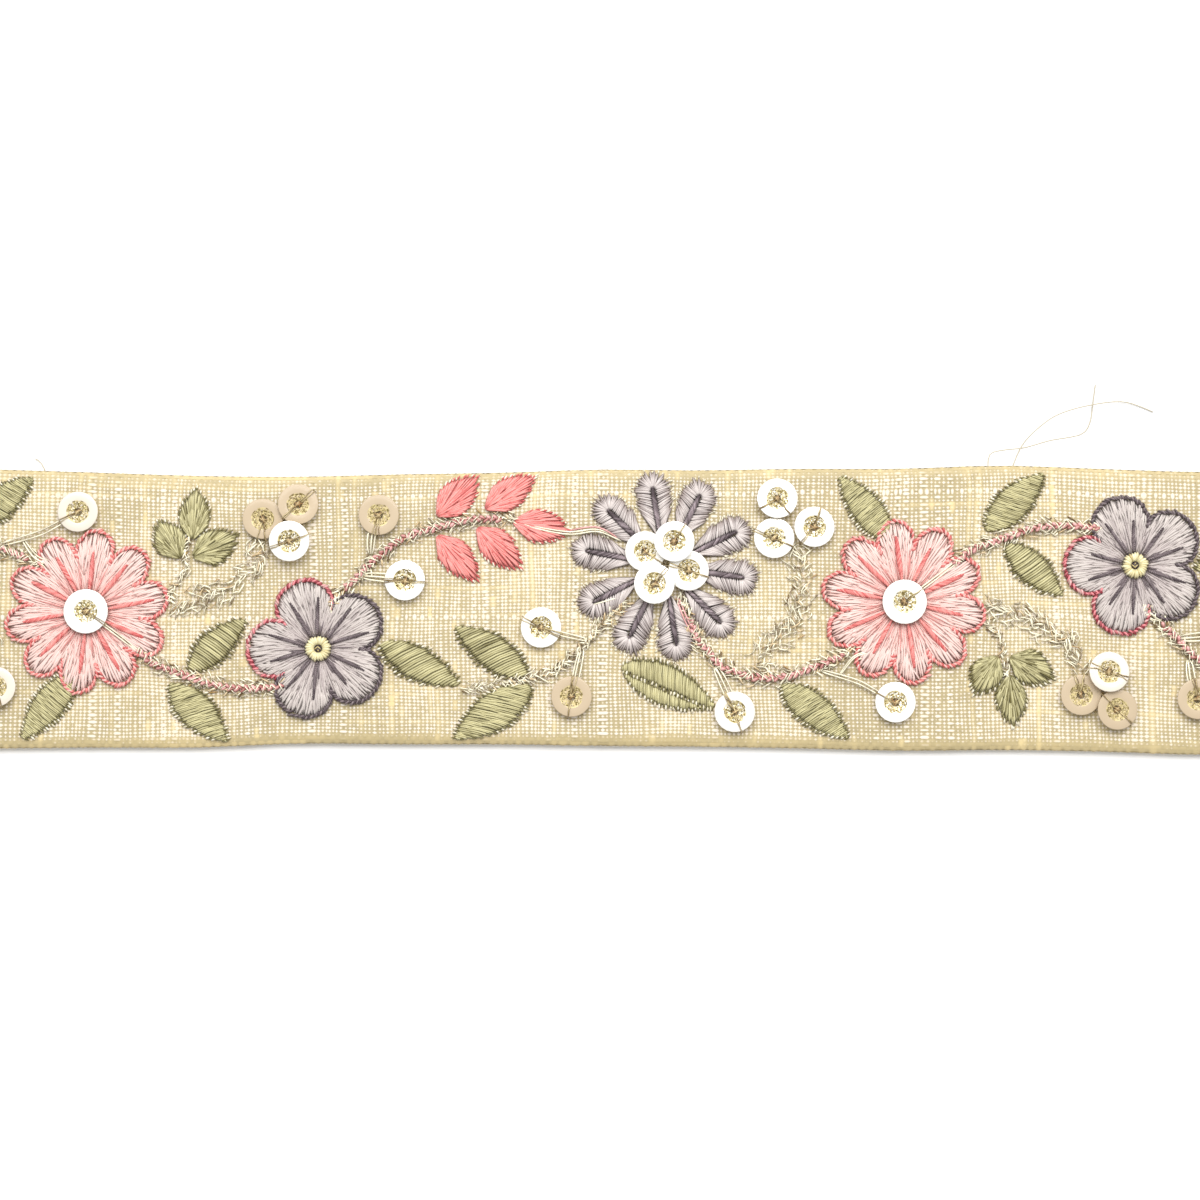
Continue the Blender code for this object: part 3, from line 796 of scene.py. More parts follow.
class RIBBON_OT_lay_cloth(bpy.types.Operator):
    """Lay the folded sheet of cloth that carries the yarns"""

    bl_idname = "ribbon.lay_cloth"
    bl_label = "Lay the cloth"

    def execute(self, context):
        look = context.scene.ribbon_cloth
        places, bottom, top = edge_lines()
        fold = look.fold_width / MM
        sheet = look.sheet / MM
        bpy.ops.object.select_all(action="DESELECT")
        bpy.ops.mesh.primitive_grid_add(x_subdivisions=SECTIONS * 2, y_subdivisions=60, size=1)
        cloth = context.object
        cloth.name = cloth.data.name = "ribbon_cloth"
        mesh = cloth.data
        flat = np.empty(len(mesh.vertices) * 3)
        mesh.vertices.foreach_get("co", flat)
        flat = flat.reshape(-1, 3)
        length = LENGTH - 2 * SHEET_END_GAP
        along = flat[:, 0] * length
        low = np.interp(along, places, bottom)
        high = np.interp(along, places, top)
        across, height = self.folded(flat[:, 1] * 2, low, high, fold - SHEET_INSET, sheet)
        points = np.stack((along, across, height), axis=-1) * MM
        mesh.vertices.foreach_set("co", points.ravel())
        mesh.update()
        select_only(cloth)
        thick = cloth.modifiers.new("thickness", "SOLIDIFY")
        thick.thickness = look.sheet
        thick.offset = 0
        bpy.ops.object.modifier_apply(modifier=thick.name)
        bpy.ops.object.shade_smooth()
        mesh.materials.append(self.cloth_material(look))
        self.mark_deep_shade(mesh)
        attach(cloth, "root")
        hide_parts("ribbon")
        return {"FINISHED"}

    @staticmethod
    def fold_length(fold):
        """The way round a fold, from the face to the hem."""
        return math.pi * math.sqrt((fold**2 + (FACE_Z / 2) ** 2) / 2)

    def folded(self, share, low, high, fold, sheet):
        """Carries the flat sheet, from -1 to 1 across, round the two folds."""
        rise = (FACE_Z - sheet) / 2 - 0.1
        turn_length = self.fold_length(fold)
        half_face = (high - low) / 2 - fold - SHEET_INSET
        hem = HEM_DEPTH - fold
        run = np.abs(share) * (half_face + turn_length + hem)
        side = np.sign(share)
        turn = np.clip((run - half_face) / turn_length, 0, 1) * math.pi
        past_turn = np.clip(run - half_face - turn_length, 0, None)
        reach = np.minimum(run, half_face) + fold * np.sin(turn) - past_turn
        across = (high + low) / 2 + side * reach
        height = FACE_Z / 2 - 0.04 + rise * np.cos(turn)
        return across, height

    @staticmethod
    def mark_deep_shade(mesh):
        """Marks the upper side, which lies deep between the yarns and is painted as shade there."""
        points = np.empty(len(mesh.vertices) * 3)
        mesh.vertices.foreach_get("co", points)
        height = points.reshape(-1, 3)[:, 2] / MM
        normals = np.empty(len(mesh.vertices) * 3)
        mesh.vertices.foreach_get("normal", normals)
        deep_shade = (height > 0.75) & (normals.reshape(-1, 3)[:, 2] > -0.2)
        mark = mesh.attributes.new("face", "FLOAT", "POINT")
        mark.data.foreach_set("value", deep_shade.astype(float))

    @staticmethod
    def cloth_material(look):
        material, tree, shader = new_material("ground_weave")
        group = named_group("plain_weave", plain_weave_group)
        steps = {"Step along": look.step_along, "Step across": look.step_across}
        weave = place_group(tree, group, {"Yarn": look.light, "Gap shade": look.gap, **steps})
        # The marked upper side is painted the colour deep between the yarns, as shade
        face = add_node(tree, "ShaderNodeAttribute", attribute_name="face").outputs["Fac"]
        colour = blend_colour(tree, face, weave.outputs["Colour"], tuple(look.gap))
        tree.links.new(colour, shader.inputs["Base Color"])
        shader.inputs["Roughness"].default_value = 0.75
        shader.inputs["Sheen Weight"].default_value = 0.2
        raise_surface(tree, shader, weave.outputs["Height"], 0.8, 0.12 * MM)
        return material


class RIBBON_OT_weave_yarns(bpy.types.Operator):
    """Weave the yarns that cover the face and both folds"""

    bl_idname = "ribbon.weave_yarns"
    bl_label = "Weave the yarns"

    def execute(self, context):
        look = context.scene.ribbon_cloth
        rng = np.random.default_rng(11)
        step_along = look.step_along / MM
        step_across = look.step_across / MM
        rise = look.yarn_rise / MM
        span = LENGTH - 2 * YARN_END_GAP
        columns = math.floor(span / step_along)
        spacing = 1 + 0.13 * rng.standard_normal(columns).clip(-2, 2)
        spacing[rng.random(columns) < 0.14] *= 1.4
        paired = rng.random(columns) < 0.10
        along = np.cumsum(spacing) - spacing / 2
        along = (along - along[0]) / (along[-1] - along[0]) * span - span / 2
        surface, normal, band = self.crossings(along, step_across, look.fold_width / MM, rng)
        rows_across = surface.shape[1]
        paired_rows = rng.random(rows_across) < 0.05
        turns = np.cumsum(~paired)[:, None] + np.cumsum(~paired_rows)
        parity = (turns % 2) * 2 - 1
        lift = normal * (rise * parity)[..., None]
        warm, tone = self.marks(surface, band, rng)
        material = self.yarn_material(look)
        crossing_half = step_along * spacing * (0.49 + 0.02 * rng.standard_normal(columns)).clip(0.44, 0.54)
        running_half = step_across * (0.49 + 0.03 * rng.standard_normal(rows_across)).clip(0.42, 0.56)
        swell = 1 + 0.15 * warm
        # Painted shade darkens a yarn where it dips under another and towards its sides, and less so
        # in a fold
        dip_shade = -3.0 + 2.4 * band
        rim = 2.1 - 1.4 * band
        crossing_tone = tone + np.where(parity > 0, 0.0, dip_shade) + 0.07 * rng.standard_normal((columns, 1))
        half = crossing_half[:, None] * swell
        self.weave("yarns_across", material, surface + lift, half, crossing_tone, warm, normal, rim)
        running = (surface - lift).transpose(1, 0, 2)
        running_tone = (tone + np.where(parity > 0, dip_shade, 0.0)).T
        running_tone = running_tone + 0.07 * rng.standard_normal((rows_across, 1))
        half = running_half[:, None] * swell.T
        up = normal.transpose(1, 0, 2)
        self.weave("yarns_along", material, running, half, running_tone, warm.T, up, rim.T)
        return {"FINISHED"}

    @staticmethod
    def weave(name, material, path, half, tone, warm, up, rim):
        """All yarns of one direction, in two pieces so that neither has too many faces."""
        for number, part in enumerate(np.array_split(np.arange(len(path)), 2), 1):
            bundle = Bundle()
            bundle.add(
                path[part],
                half[part],
                tone[part],
                warm[part],
                section=WOVEN_YARN,
                up=up[part],
                flat=YARN_FLATNESS,
                rim=rim[part],
            )
            bundle.piece(f"{name}_{number}", material, "ground_cloth", crisp=True)

    @staticmethod
    def crossings(along, step, fold, rng):
        """Where the yarns cross: places, the cloth's normals there, and how far into a fold."""
        places, bottom, top = edge_lines()
        low = np.interp(along, places, bottom)[:, None]
        high = np.interp(along, places, top)[:, None]
        face_rows = round((float((top - bottom).mean()) - 2 * fold) / step)
        share = (np.arange(face_rows) + 0.5) / face_rows
        rise = FACE_Z / 2 - YARN_DEPTH
        fine = np.linspace(0, math.pi, 200)
        pace = np.hypot(np.diff(fold * np.sin(fine)), np.diff(rise * np.cos(fine)))
        run = np.concatenate(([0], np.cumsum(pace)))
        fold_rows = round(run[-1] / step)
        turn = np.interp((np.arange(fold_rows) + 0.5) / fold_rows * run[-1], run, fine)
        under = (np.arange(2) + 0.5) * step
        flat = np.ones((len(along), 1))
        face = low + fold + (high - low - 2 * fold) * share
        strips = [(face, flat * np.ones(face_rows), 0 * face, 1 + 0 * face, 0 * face)]
        for edge, side in ((high, 1), (low, -1)):
            across = edge - side * fold + side * fold * np.sin(turn)
            norm = np.hypot(np.sin(turn) / fold, np.cos(turn) / rise)
            tilt = side * np.sin(turn) / fold / norm
            facing = np.cos(turn) / rise / norm
            depth = flat * np.clip(0.25 + turn / 1.3, 0, 1)
            strip = [across, flat * np.cos(turn), flat * tilt, flat * facing, depth]
            below = edge - side * fold - side * under
            hidden = [below, -flat * np.ones(2), 0 * below, -1 + 0 * below, 1 + 0 * below]
            joined = [np.concatenate(pair, axis=1) for pair in zip(strip, hidden)]
            if side > 0:
                strips.append(joined)
            else:
                strips.insert(0, [column[:, ::-1] for column in joined])
        across, height, tilt, facing, band = (np.concatenate(column, axis=1) for column in zip(*strips))
        x = np.broadcast_to(along[:, None], across.shape)
        surface = np.stack((x, across, FACE_Z / 2 + rise * height), axis=-1)
        for wavelength, size in ((37, 0.10), (19, 0.08), (11, 0.06), (6.5, 0.04)):
            for axis in (0, 1):
                heading = unit(rng.uniform(0, 360)) / wavelength * math.tau
                wave = np.sin(x * heading[0] + across * heading[1] + rng.uniform(0, math.tau))
                surface[..., axis] += size * wave * (1 - band)
        surface[..., 0] += 0.03 * rng.standard_normal((len(along), 1))
        normal = np.stack((0 * tilt, tilt, facing), axis=-1)
        return surface, normal, band

    @staticmethod
    def marks(surface, band, rng):
        """How warm and how light the yarns are at each crossing, with painted shade on the
        lower fold.
        """
        columns, rows_across = surface.shape[:2]
        patches = np.zeros((columns, rows_across))
        for wavelength in (60, 34, 15, 8):
            heading = unit(rng.uniform(0, 360)) / wavelength * math.tau
            phase = surface[..., 0] * heading[0] + surface[..., 1] * heading[1]
            patches += np.sin(phase + rng.uniform(0, math.tau))
        warm = np.clip(0.10 + 0.07 * patches, 0, 1) * 0.5 + rng.uniform(0, 0.16, patches.shape)
        # Long slubs in the yarns of both directions, and short knots
        for _ in range(150):
            column = rng.integers(columns)
            start = rng.integers(-20, rows_across)
            length = rng.integers(5, 45)
            warm[column, max(0, start) : start + length] += rng.uniform(0.08, 0.3)
        for _ in range(60):
            line = rng.integers(rows_across)
            start = rng.integers(-20, columns)
            length = rng.integers(5, 60)
            warm[max(0, start) : start + length, line] += rng.uniform(0.1, 0.3)
        for _ in range(160):
            column, line = rng.integers(columns - 2), rng.integers(rows_across - 3)
            warm[column, line : line + 3] += rng.uniform(0.25, 0.6)
        low_band = band * (surface[..., 1] < 0)
        warm = np.clip(warm + 0.20 * band + 0.12 * low_band, 0, 1)
        tone = 1.66 + 0.09 * patches + 0.20 * rng.standard_normal((columns, rows_across))
        # Tones are evened out in the folds, and the lower fold is painted darker, as shade
        tone = tone - 1.40 * band - 0.75 * low_band
        return warm, tone

    @staticmethod
    def yarn_material(look):
        return thread_material(
            "cream_yarn", look.dark, look.light, look.slub, rough=0.55, fibres=0.5, sheen=0.2
        )


def flower_middle(flower):
    return np.array((flower["u"], flower["v"]))


def petal_axes(flower):
    """The direction of each petal of a flower, in degrees."""
    return [flower["first_axis"] + 360 / flower["petals"] * k for k in range(flower["petals"])]


def petal_reach(flower, degrees):
    """How far a round-petalled flower reaches at an angle, and how near its petal's axis that is."""
    swing = np.cos(np.radians((degrees - flower["first_axis"]) * flower["petals"] / 2))
    crown = np.sqrt(np.abs(swing))
    return flower["notch"] + (flower["outer"] - flower["notch"]) * crown, crown


def fill_petals(bundle, flower, repeat, inner, step, rng):
    """Short overlapping stitches that run outwards in a round flower, over a flat padding."""
    middle = flower_middle(flower)
    count = round(math.tau * 5 / step)
    turn = np.arange(count) * 360 / count
    reach, crown = petal_reach(flower, turn)
    start = middle + unit(turn) * inner
    end = middle + unit(turn) * (reach - 0.3)[:, None]
    heights = np.stack((0.18 + 0 * crown, 0.2 + 0.1 * crown, 0.12 + 0.24 * crown, 0.02 + 0 * crown), axis=-1)
    bundle.stitch(repeat, start, end, heights, 0.3, np.full(count, 0.8), 0.4, flat=0.3, rim=0.0)
    for first_share, last_share, girth in FILL_ROUNDS:
        count = round(math.tau * girth / step)
        turn = np.arange(count) * 360 / count + rng.normal(0, 0.5, count)
        reach, crown = petal_reach(flower, turn)
        room = reach - 0.2 - inner
        first = inner + room * (first_share + rng.normal(0, 0.07, count)).clip(0)
        last = inner + room * (last_share + rng.normal(0, 0.03, count))
        start = middle + unit(turn + rng.normal(0, 2.0, count) / (0.4 + first_share)) * first[:, None]
        end = middle + unit(turn) * last[:, None]
        share = np.linspace(0, 1, 4)
        way = first_share + (last_share - first_share) * share
        dome = 0.22 + (0.06 + 0.24 * np.minimum(way / 0.7, 1)) * crown[:, None]
        fall = 0.34 * np.clip((way - 0.88) / 0.12, 0, 1)
        heights = dome - fall + 0.06 * np.sin(np.pi * share) - 0.03 + rng.normal(0, 0.012, (count, 1))
        # Painted shade: each stitch is darker at its ends, and the fill darker towards the notches between
        # the petals
        tone = rng.normal(0.92, 0.16, count)[:, None] * np.array((0.85, 1.05, 1.05, 0.85))
        tone = (tone + rng.normal(0, 0.16, tone.shape)).clip(0.1, 1.25) * (0.85 + 0.15 * crown[:, None])
        warm = (0.9 - 1.1 * way + rng.normal(0, 0.12, tone.shape)).clip(0, 1)
        half = rng.normal(0.14, 0.018, count).clip(0.09, 0.18)
        bundle.stitch(repeat, start, end, heights, half, tone, warm, taper=0.45, flat=0.5, rim=0.25)


def edge_stitches(bundle, route, ahead, repeat, tone, warm, rng, length=0.85, half=0.155, slant=36):
    """Short slanted stitches along a line, like a laid cord."""
    count = len(route)
    turn = np.radians(slant + rng.normal(0, 10, count))[:, None]
    route = route + left_of(ahead) * rng.normal(0, 0.06, (count, 1))
    along = ahead * np.cos(turn) + left_of(ahead) * np.sin(turn)
    reach = along * (length / 2 * rng.normal(1, 0.12, count))[:, None]
    heights = np.array((0.05, 0.42, 0.42, 0.05))
    # Painted shade: each stitch is darker at its ends
    tone = np.asarray(tone)[:, None] * np.array((0.6, 1.1, 1.1, 0.6))
    warm = np.asarray(warm)[:, None] * np.ones(4)
    bundle.stitch(repeat, route - reach, route + reach, heights, half, tone, warm, taper=0.6, rim=0.5)


def flower_edge(flower, step, shrink=0.0):
    """Even points round a scalloped flower, the direction at each, and its petal's number."""
    middle = flower_middle(flower)
    turn = np.linspace(0, 360, 1441)
    reach, _ = petal_reach(flower, turn)
    line = middle + unit(turn) * (reach - shrink)[:, None]
    run = np.concatenate(([0], np.cumsum(np.linalg.norm(np.diff(line, axis=0), axis=1))))
    places = np.arange(0, run[-1], step)
    route = np.stack([np.interp(places, run, line[:, k]) for k in range(2)], axis=-1)
    angle = np.interp(places, run, turn)
    ahead = np.gradient(route, axis=0)
    petals = flower["petals"]
    petal = np.round((angle - flower["first_axis"]) / (360 / petals)).astype(int) % petals
    return route, ahead / np.linalg.norm(ahead, axis=1, keepdims=True), petal


def streak(bundle, start, end, half_width, repeat, tones, rng, step=0.26, relief=0.62, mixed=0.1, blunt=0.8):
    """A raised line of slanted stitches, pointed at both ends and widest past its middle."""
    length = np.linalg.norm(end - start)
    ahead = (end - start) / length
    places = np.arange(0.1, length, step)
    share = places / length
    swell = np.sin(np.pi * share**1.25) ** blunt * half_width + 0.06
    turn = np.radians(30)
    across = ahead * np.cos(turn) + left_of(ahead) * np.sin(turn)
    middle = start + ahead * places[:, None]
    reach = across * (swell / np.sin(turn))[:, None]
    count = len(places)
    heights = np.array((relief - 0.3, relief, relief, relief - 0.3))
    dark = tones[0] + (tones[1] - tones[0]) * (1 - share) + rng.normal(0, mixed, count)
    bundle.stitch(repeat, middle - reach, middle + reach, heights, 0.13, np.clip(dark, 0, 1.1), taper=0.5)


class RIBBON_OT_stitch_pink_flowers(bpy.types.Operator):
    """Embroider the pink flowers with their coral edges and lines"""

    bl_idname = "ribbon.stitch_pink_flowers"
    bl_label = "Stitch the pink flowers"

    def execute(self, context):
        look = context.scene.ribbon_threads
        fill = Bundle()
        coral = Bundle()
        for repeat in HALF_REPEATS:
            rng = np.random.default_rng(20 + repeat)
            fill_petals(fill, PINK_FLOWER, repeat, 2.3, look.fill_step / MM, rng)
            route, ahead, _ = flower_edge(PINK_FLOWER, 0.32)
            beat = np.arange(len(route)) % 2
            tone = np.where(beat, 1.0, 0.35) + rng.normal(0, 0.2, len(route))
            warm = beat * rng.uniform(0.1, 0.7, len(route))
            edge_stitches(coral, route, ahead, repeat, tone, warm, rng)
            middle = flower_middle(PINK_FLOWER)
            for axis in petal_axes(PINK_FLOWER):
                turn = axis + rng.normal(0, 1.5)
                start = middle + unit(turn + rng.normal(0, 2)) * 2.6
                end = middle + unit(turn) * rng.uniform(7.4, 8.6)
                width = rng.uniform(0.21, 0.31)
                streak(coral, start, end, width, repeat, (0.3, 1.0), rng, mixed=0.3, blunt=0.6)
                self.side_lines(coral, middle, turn, repeat, rng)
        fill.piece(
            "pink_petals",
            thread_material("pink_satin", look.pink_dark, look.pink, PINK_WARM),
            "pink_thread",
        )
        coral.piece(
            "coral_edges",
            thread_material("coral_satin", look.coral_dark, look.coral, look.pink, rough=0.38),
            "coral_thread",
        )
        return {"FINISHED"}

    @staticmethod
    def side_lines(coral, middle, turn, repeat, rng):
        """Fine coral stitches beside a petal's line, and down the seam to the next petal."""
        lean = np.array((-5.0, 5.5, 16.0, 19.0)) + rng.normal(0, 1.2, 4)
        reach = np.array((5.6, 5.2, 6.4, 5.4)) + rng.normal(0, 0.5, 4)
        start = middle + unit(turn + lean) * 2.5
        end = middle + unit(turn + lean * 0.9) * reach[:, None]
        # Painted shade: each stitch is darker at its ends
        tone = rng.uniform(0.3, 1.1, (4, 1)) * np.array((0.8, 1.0, 0.7))
        coral.stitch(repeat, start, end, np.array((0.36, 0.58, 0.40)), 0.065, tone, 0.25, taper=0.3)


class RIBBON_OT_stitch_violet_flowers(bpy.types.Operator):
    """Embroider the violet flowers, their dark streaks and their eyelets"""

    bl_idname = "ribbon.stitch_violet_flowers"
    bl_label = "Stitch the violet flowers"

    def execute(self, context):
        look = context.scene.ribbon_threads
        fill = Bundle()
        dark = Bundle()
        rosy = Bundle()
        ring = Bundle()
        middle = flower_middle(VIOLET_FLOWER)
        for repeat in HALF_REPEATS:
            rng = np.random.default_rng(40 + repeat)
            fill_petals(fill, VIOLET_FLOWER, repeat, 1.6, look.fill_step / MM, rng)
            route, ahead, petal = flower_edge(VIOLET_FLOWER, 0.32)
            pink_edged = np.isin(petal, PINK_EDGED_PETALS)
            beat = np.arange(len(route)) % 2
            for bundle, part in ((rosy, pink_edged), (dark, ~pink_edged)):
                count = int(part.sum())
                tone = np.where(beat[part], 0.9, 0.0) + rng.normal(0, 0.25, count)
                warm = np.where(rng.random(count) < 0.25, 0.5, 0.0) * (bundle is rosy)
                edge_stitches(bundle, route[part], ahead[part], repeat, tone, warm, rng)
            for axis in petal_axes(VIOLET_FLOWER):
                for side in (-1, 1):
                    turn = axis + side * (16 + rng.normal(0, 2.5))
                    start = middle + unit(axis + side * 13) * 1.8
                    end = middle + unit(turn) * rng.uniform(5.6, 6.8)
                    streak(dark, start, end, 0.17, repeat, (0.0, 1.1), rng, mixed=0.2)
                    self.shadow(dark, middle, turn, repeat, rng)
            self.eyelet(ring, dark, middle, repeat, rng)
        fill.piece(
            "silver_petals",
            thread_material("silver_satin", look.silver_dark, look.silver, SILVER_WARM),
            "violet_thread",
        )
        dark.piece(
            "violet_streaks",
            thread_material("violet_satin", look.violet_dark, look.violet, look.coral, rough=0.38),
            "violet_thread",
        )
        rosy.piece(
            "rosy_edges",
            thread_material("rosy_satin", ROSY_DARK, ROSY, look.pink, rough=0.38),
            "coral_thread",
        )
        ring.piece(
            "eyelets",
            thread_material("eyelet_gold", EYELET_DARK, EYELET, look.gold, rough=0.35),
            "gold_thread",
        )
        return {"FINISHED"}

    @staticmethod
    def shadow(dark, middle, turn, repeat, rng):
        """Long mauve stitches beside a streak, which darken a petal towards the middle."""
        count = 9
        lean = turn + rng.normal(0, 6, count)
        start = middle + unit(lean) * 1.6
        end = middle + unit(lean + rng.normal(0, 1, count)) * rng.uniform(2.8, 4.6, (count, 1))
        tone = rng.uniform(0.6, 1.2, (count, 1)) * np.array((0.6, 1.0, 1.2))
        dark.stitch(repeat, start, end, np.array((0.3, 0.5, 0.34)), 0.075, tone, flat=0.7)

    @staticmethod
    def eyelet(ring, dark, middle, repeat, rng):
        """A ring of short stitches round a dark hole."""
        count = 26
        turn = np.arange(count) * 360 / count + rng.normal(0, 2, count)
        start = middle + unit(turn) * 0.5
        end = middle + unit(turn + 8) * (1.62 + rng.normal(0, 0.06, count))[:, None]
        tone = rng.normal(0.75, 0.2, count).clip(0.1, 1)
        ring.stitch(repeat, start, end, np.array((0.35, 0.75, 0.8, 0.35)), 0.2, tone)
        start = middle + unit(np.arange(8) * 45) * 0.6
        end = middle - unit(np.arange(8) * 45 + 20) * 0.5
        dark.stitch(repeat, start, end, np.array((0.3, 0.34, 0.3)), 0.16, np.full(8, 0.1))
        start = middle + np.array(((-0.45, -0.1), (-0.1, 0.3), (0.1, -0.35)))
        end = middle + np.array(((0.05, 0.3), (0.35, -0.1), (-0.1, -0.1)))
        ring.stitch(repeat, start, end, np.array((0.4, 0.55, 0.4)), 0.09, np.array((0.2, 0.35, 0.15)))


class RIBBON_OT_stitch_grey_flowers(bpy.types.Operator):
    """Embroider the grey flowers, whose petals are loops of stitches round a dark slit"""

    bl_idname = "ribbon.stitch_grey_flowers"
    bl_label = "Stitch the grey flowers"

    def execute(self, context):
        look = context.scene.ribbon_threads
        fill = Bundle()
        dark = Bundle()
        white = Bundle()
        flower = GREY_FLOWER
        for repeat in HALF_REPEATS:
            rng = np.random.default_rng(60 + repeat)
            for axis in petal_axes(flower):
                turn = axis + rng.normal(0, 1.5)
                self.petal(fill, dark, white, flower, turn, repeat, rng)
        fill.piece(
            "grey_petals",
            thread_material("grey_satin", GREY_DARK, GREY, GREY_WARM),
            "violet_thread",
        )
        dark.piece(
            "grey_slits",
            thread_material("slit_satin", look.violet_dark, SLIT, look.coral, rough=0.38),
            "violet_thread",
        )
        white.piece("petal_teeth", bobbin_material(look), "ground_cloth")
        return {"FINISHED"}

    @staticmethod
    def petal(fill, dark, white, flower, turn, repeat, rng):
        """Stitches that lean out along both sides of a slit and turn round its far end."""
        middle = flower_middle(flower)
        axis = unit(turn)
        across = left_of(axis)
        half_width = flower["half_width"]
        slit_start, slit_end = flower["slit_start"], flower["slit_end"]
        starts = []
        ends = []
        count = 25
        for side in (-1, 1):
            share = (np.linspace(0, 1, count) + rng.normal(0, 0.01, count)).clip(0, 1)
            start_along = slit_start - 0.4 + (slit_end - slit_start + 0.4) * share
            angle = 26 + 56 * share**0.8
            reach = (1.5 + (half_width - 1.5) * np.sqrt(share)) * rng.normal(1, 0.07, count)
            reach = reach + np.where(np.arange(count) % 2, 0.15, -0.08)
            ahead = reach / np.tan(np.radians(angle))
            starts.append(middle + axis * start_along[:, None] + across * (side * 0.26))
            ends.append(middle + axis * (start_along + ahead)[:, None] + across * (side * reach)[:, None])
        count = 23
        angle = np.linspace(-80, 80, count) + rng.normal(0, 2, count)
        direction = unit(turn + angle)
        reach = half_width * rng.normal(1.0, 0.06, count)
        reach = reach + np.where(np.arange(count) % 2, 0.15, -0.08)
        tip = middle + axis * slit_end
        starts.append(tip + direction * 0.26)
        ends.append(tip + direction * reach[:, None])
        start = np.concatenate(starts)
        end = np.concatenate(ends)
        ahead = end - start
        count = len(start)
        # Painted shade: each stitch grows darker towards its outer tip, and browner there
        tone = rng.normal(0.82, 0.2, count)[:, None] * np.array((0.85, 1.1, 1.0, 0.6, 0.15))
        tone = tone + rng.normal(0, 0.12, tone.shape)
        warm = np.broadcast_to(np.array((0, 0, 0, 0.25, 0.7)), (count, 5))
        heights = np.array((0.34, 0.52, 0.46, 0.28, 0.02))
        half = rng.normal(0.12, 0.012, count)
        fill.stitch(repeat, start, end, heights, half, tone, warm, taper=0.3, flat=0.9, rim=0.5)
        # A dark flat layer under the stitches, as painted shade between them
        heights = np.array((0.1, 0.26, 0.0))
        fill.stitch(repeat, start, start + ahead * 0.9, heights, 0.24, np.full(count, 0.3), flat=0.5)
        ticks = rng.random(count) < 0.5
        start = (start + ahead * 0.96)[ticks]
        end = start + ahead[ticks] * rng.uniform(0.12, 0.24, (len(start), 1))
        white.stitch(repeat, start, end, np.array((0.04, 0.14, 0.0)), 0.09, rng.uniform(0.6, 1, len(start)))
        start = middle + axis * (slit_start - 0.6)
        end = middle + axis * (slit_end + 0.35)
        streak(dark, start, end, 0.31, repeat, (-0.1, 0.95), rng, relief=0.6, mixed=0.3)


def leaf_swell(share, half_width):
    """Half the width of a leaf at a share of its length."""
    share = np.clip(share, 0, 1)
    return half_width * np.sin(np.pi * share**0.85) ** 0.8


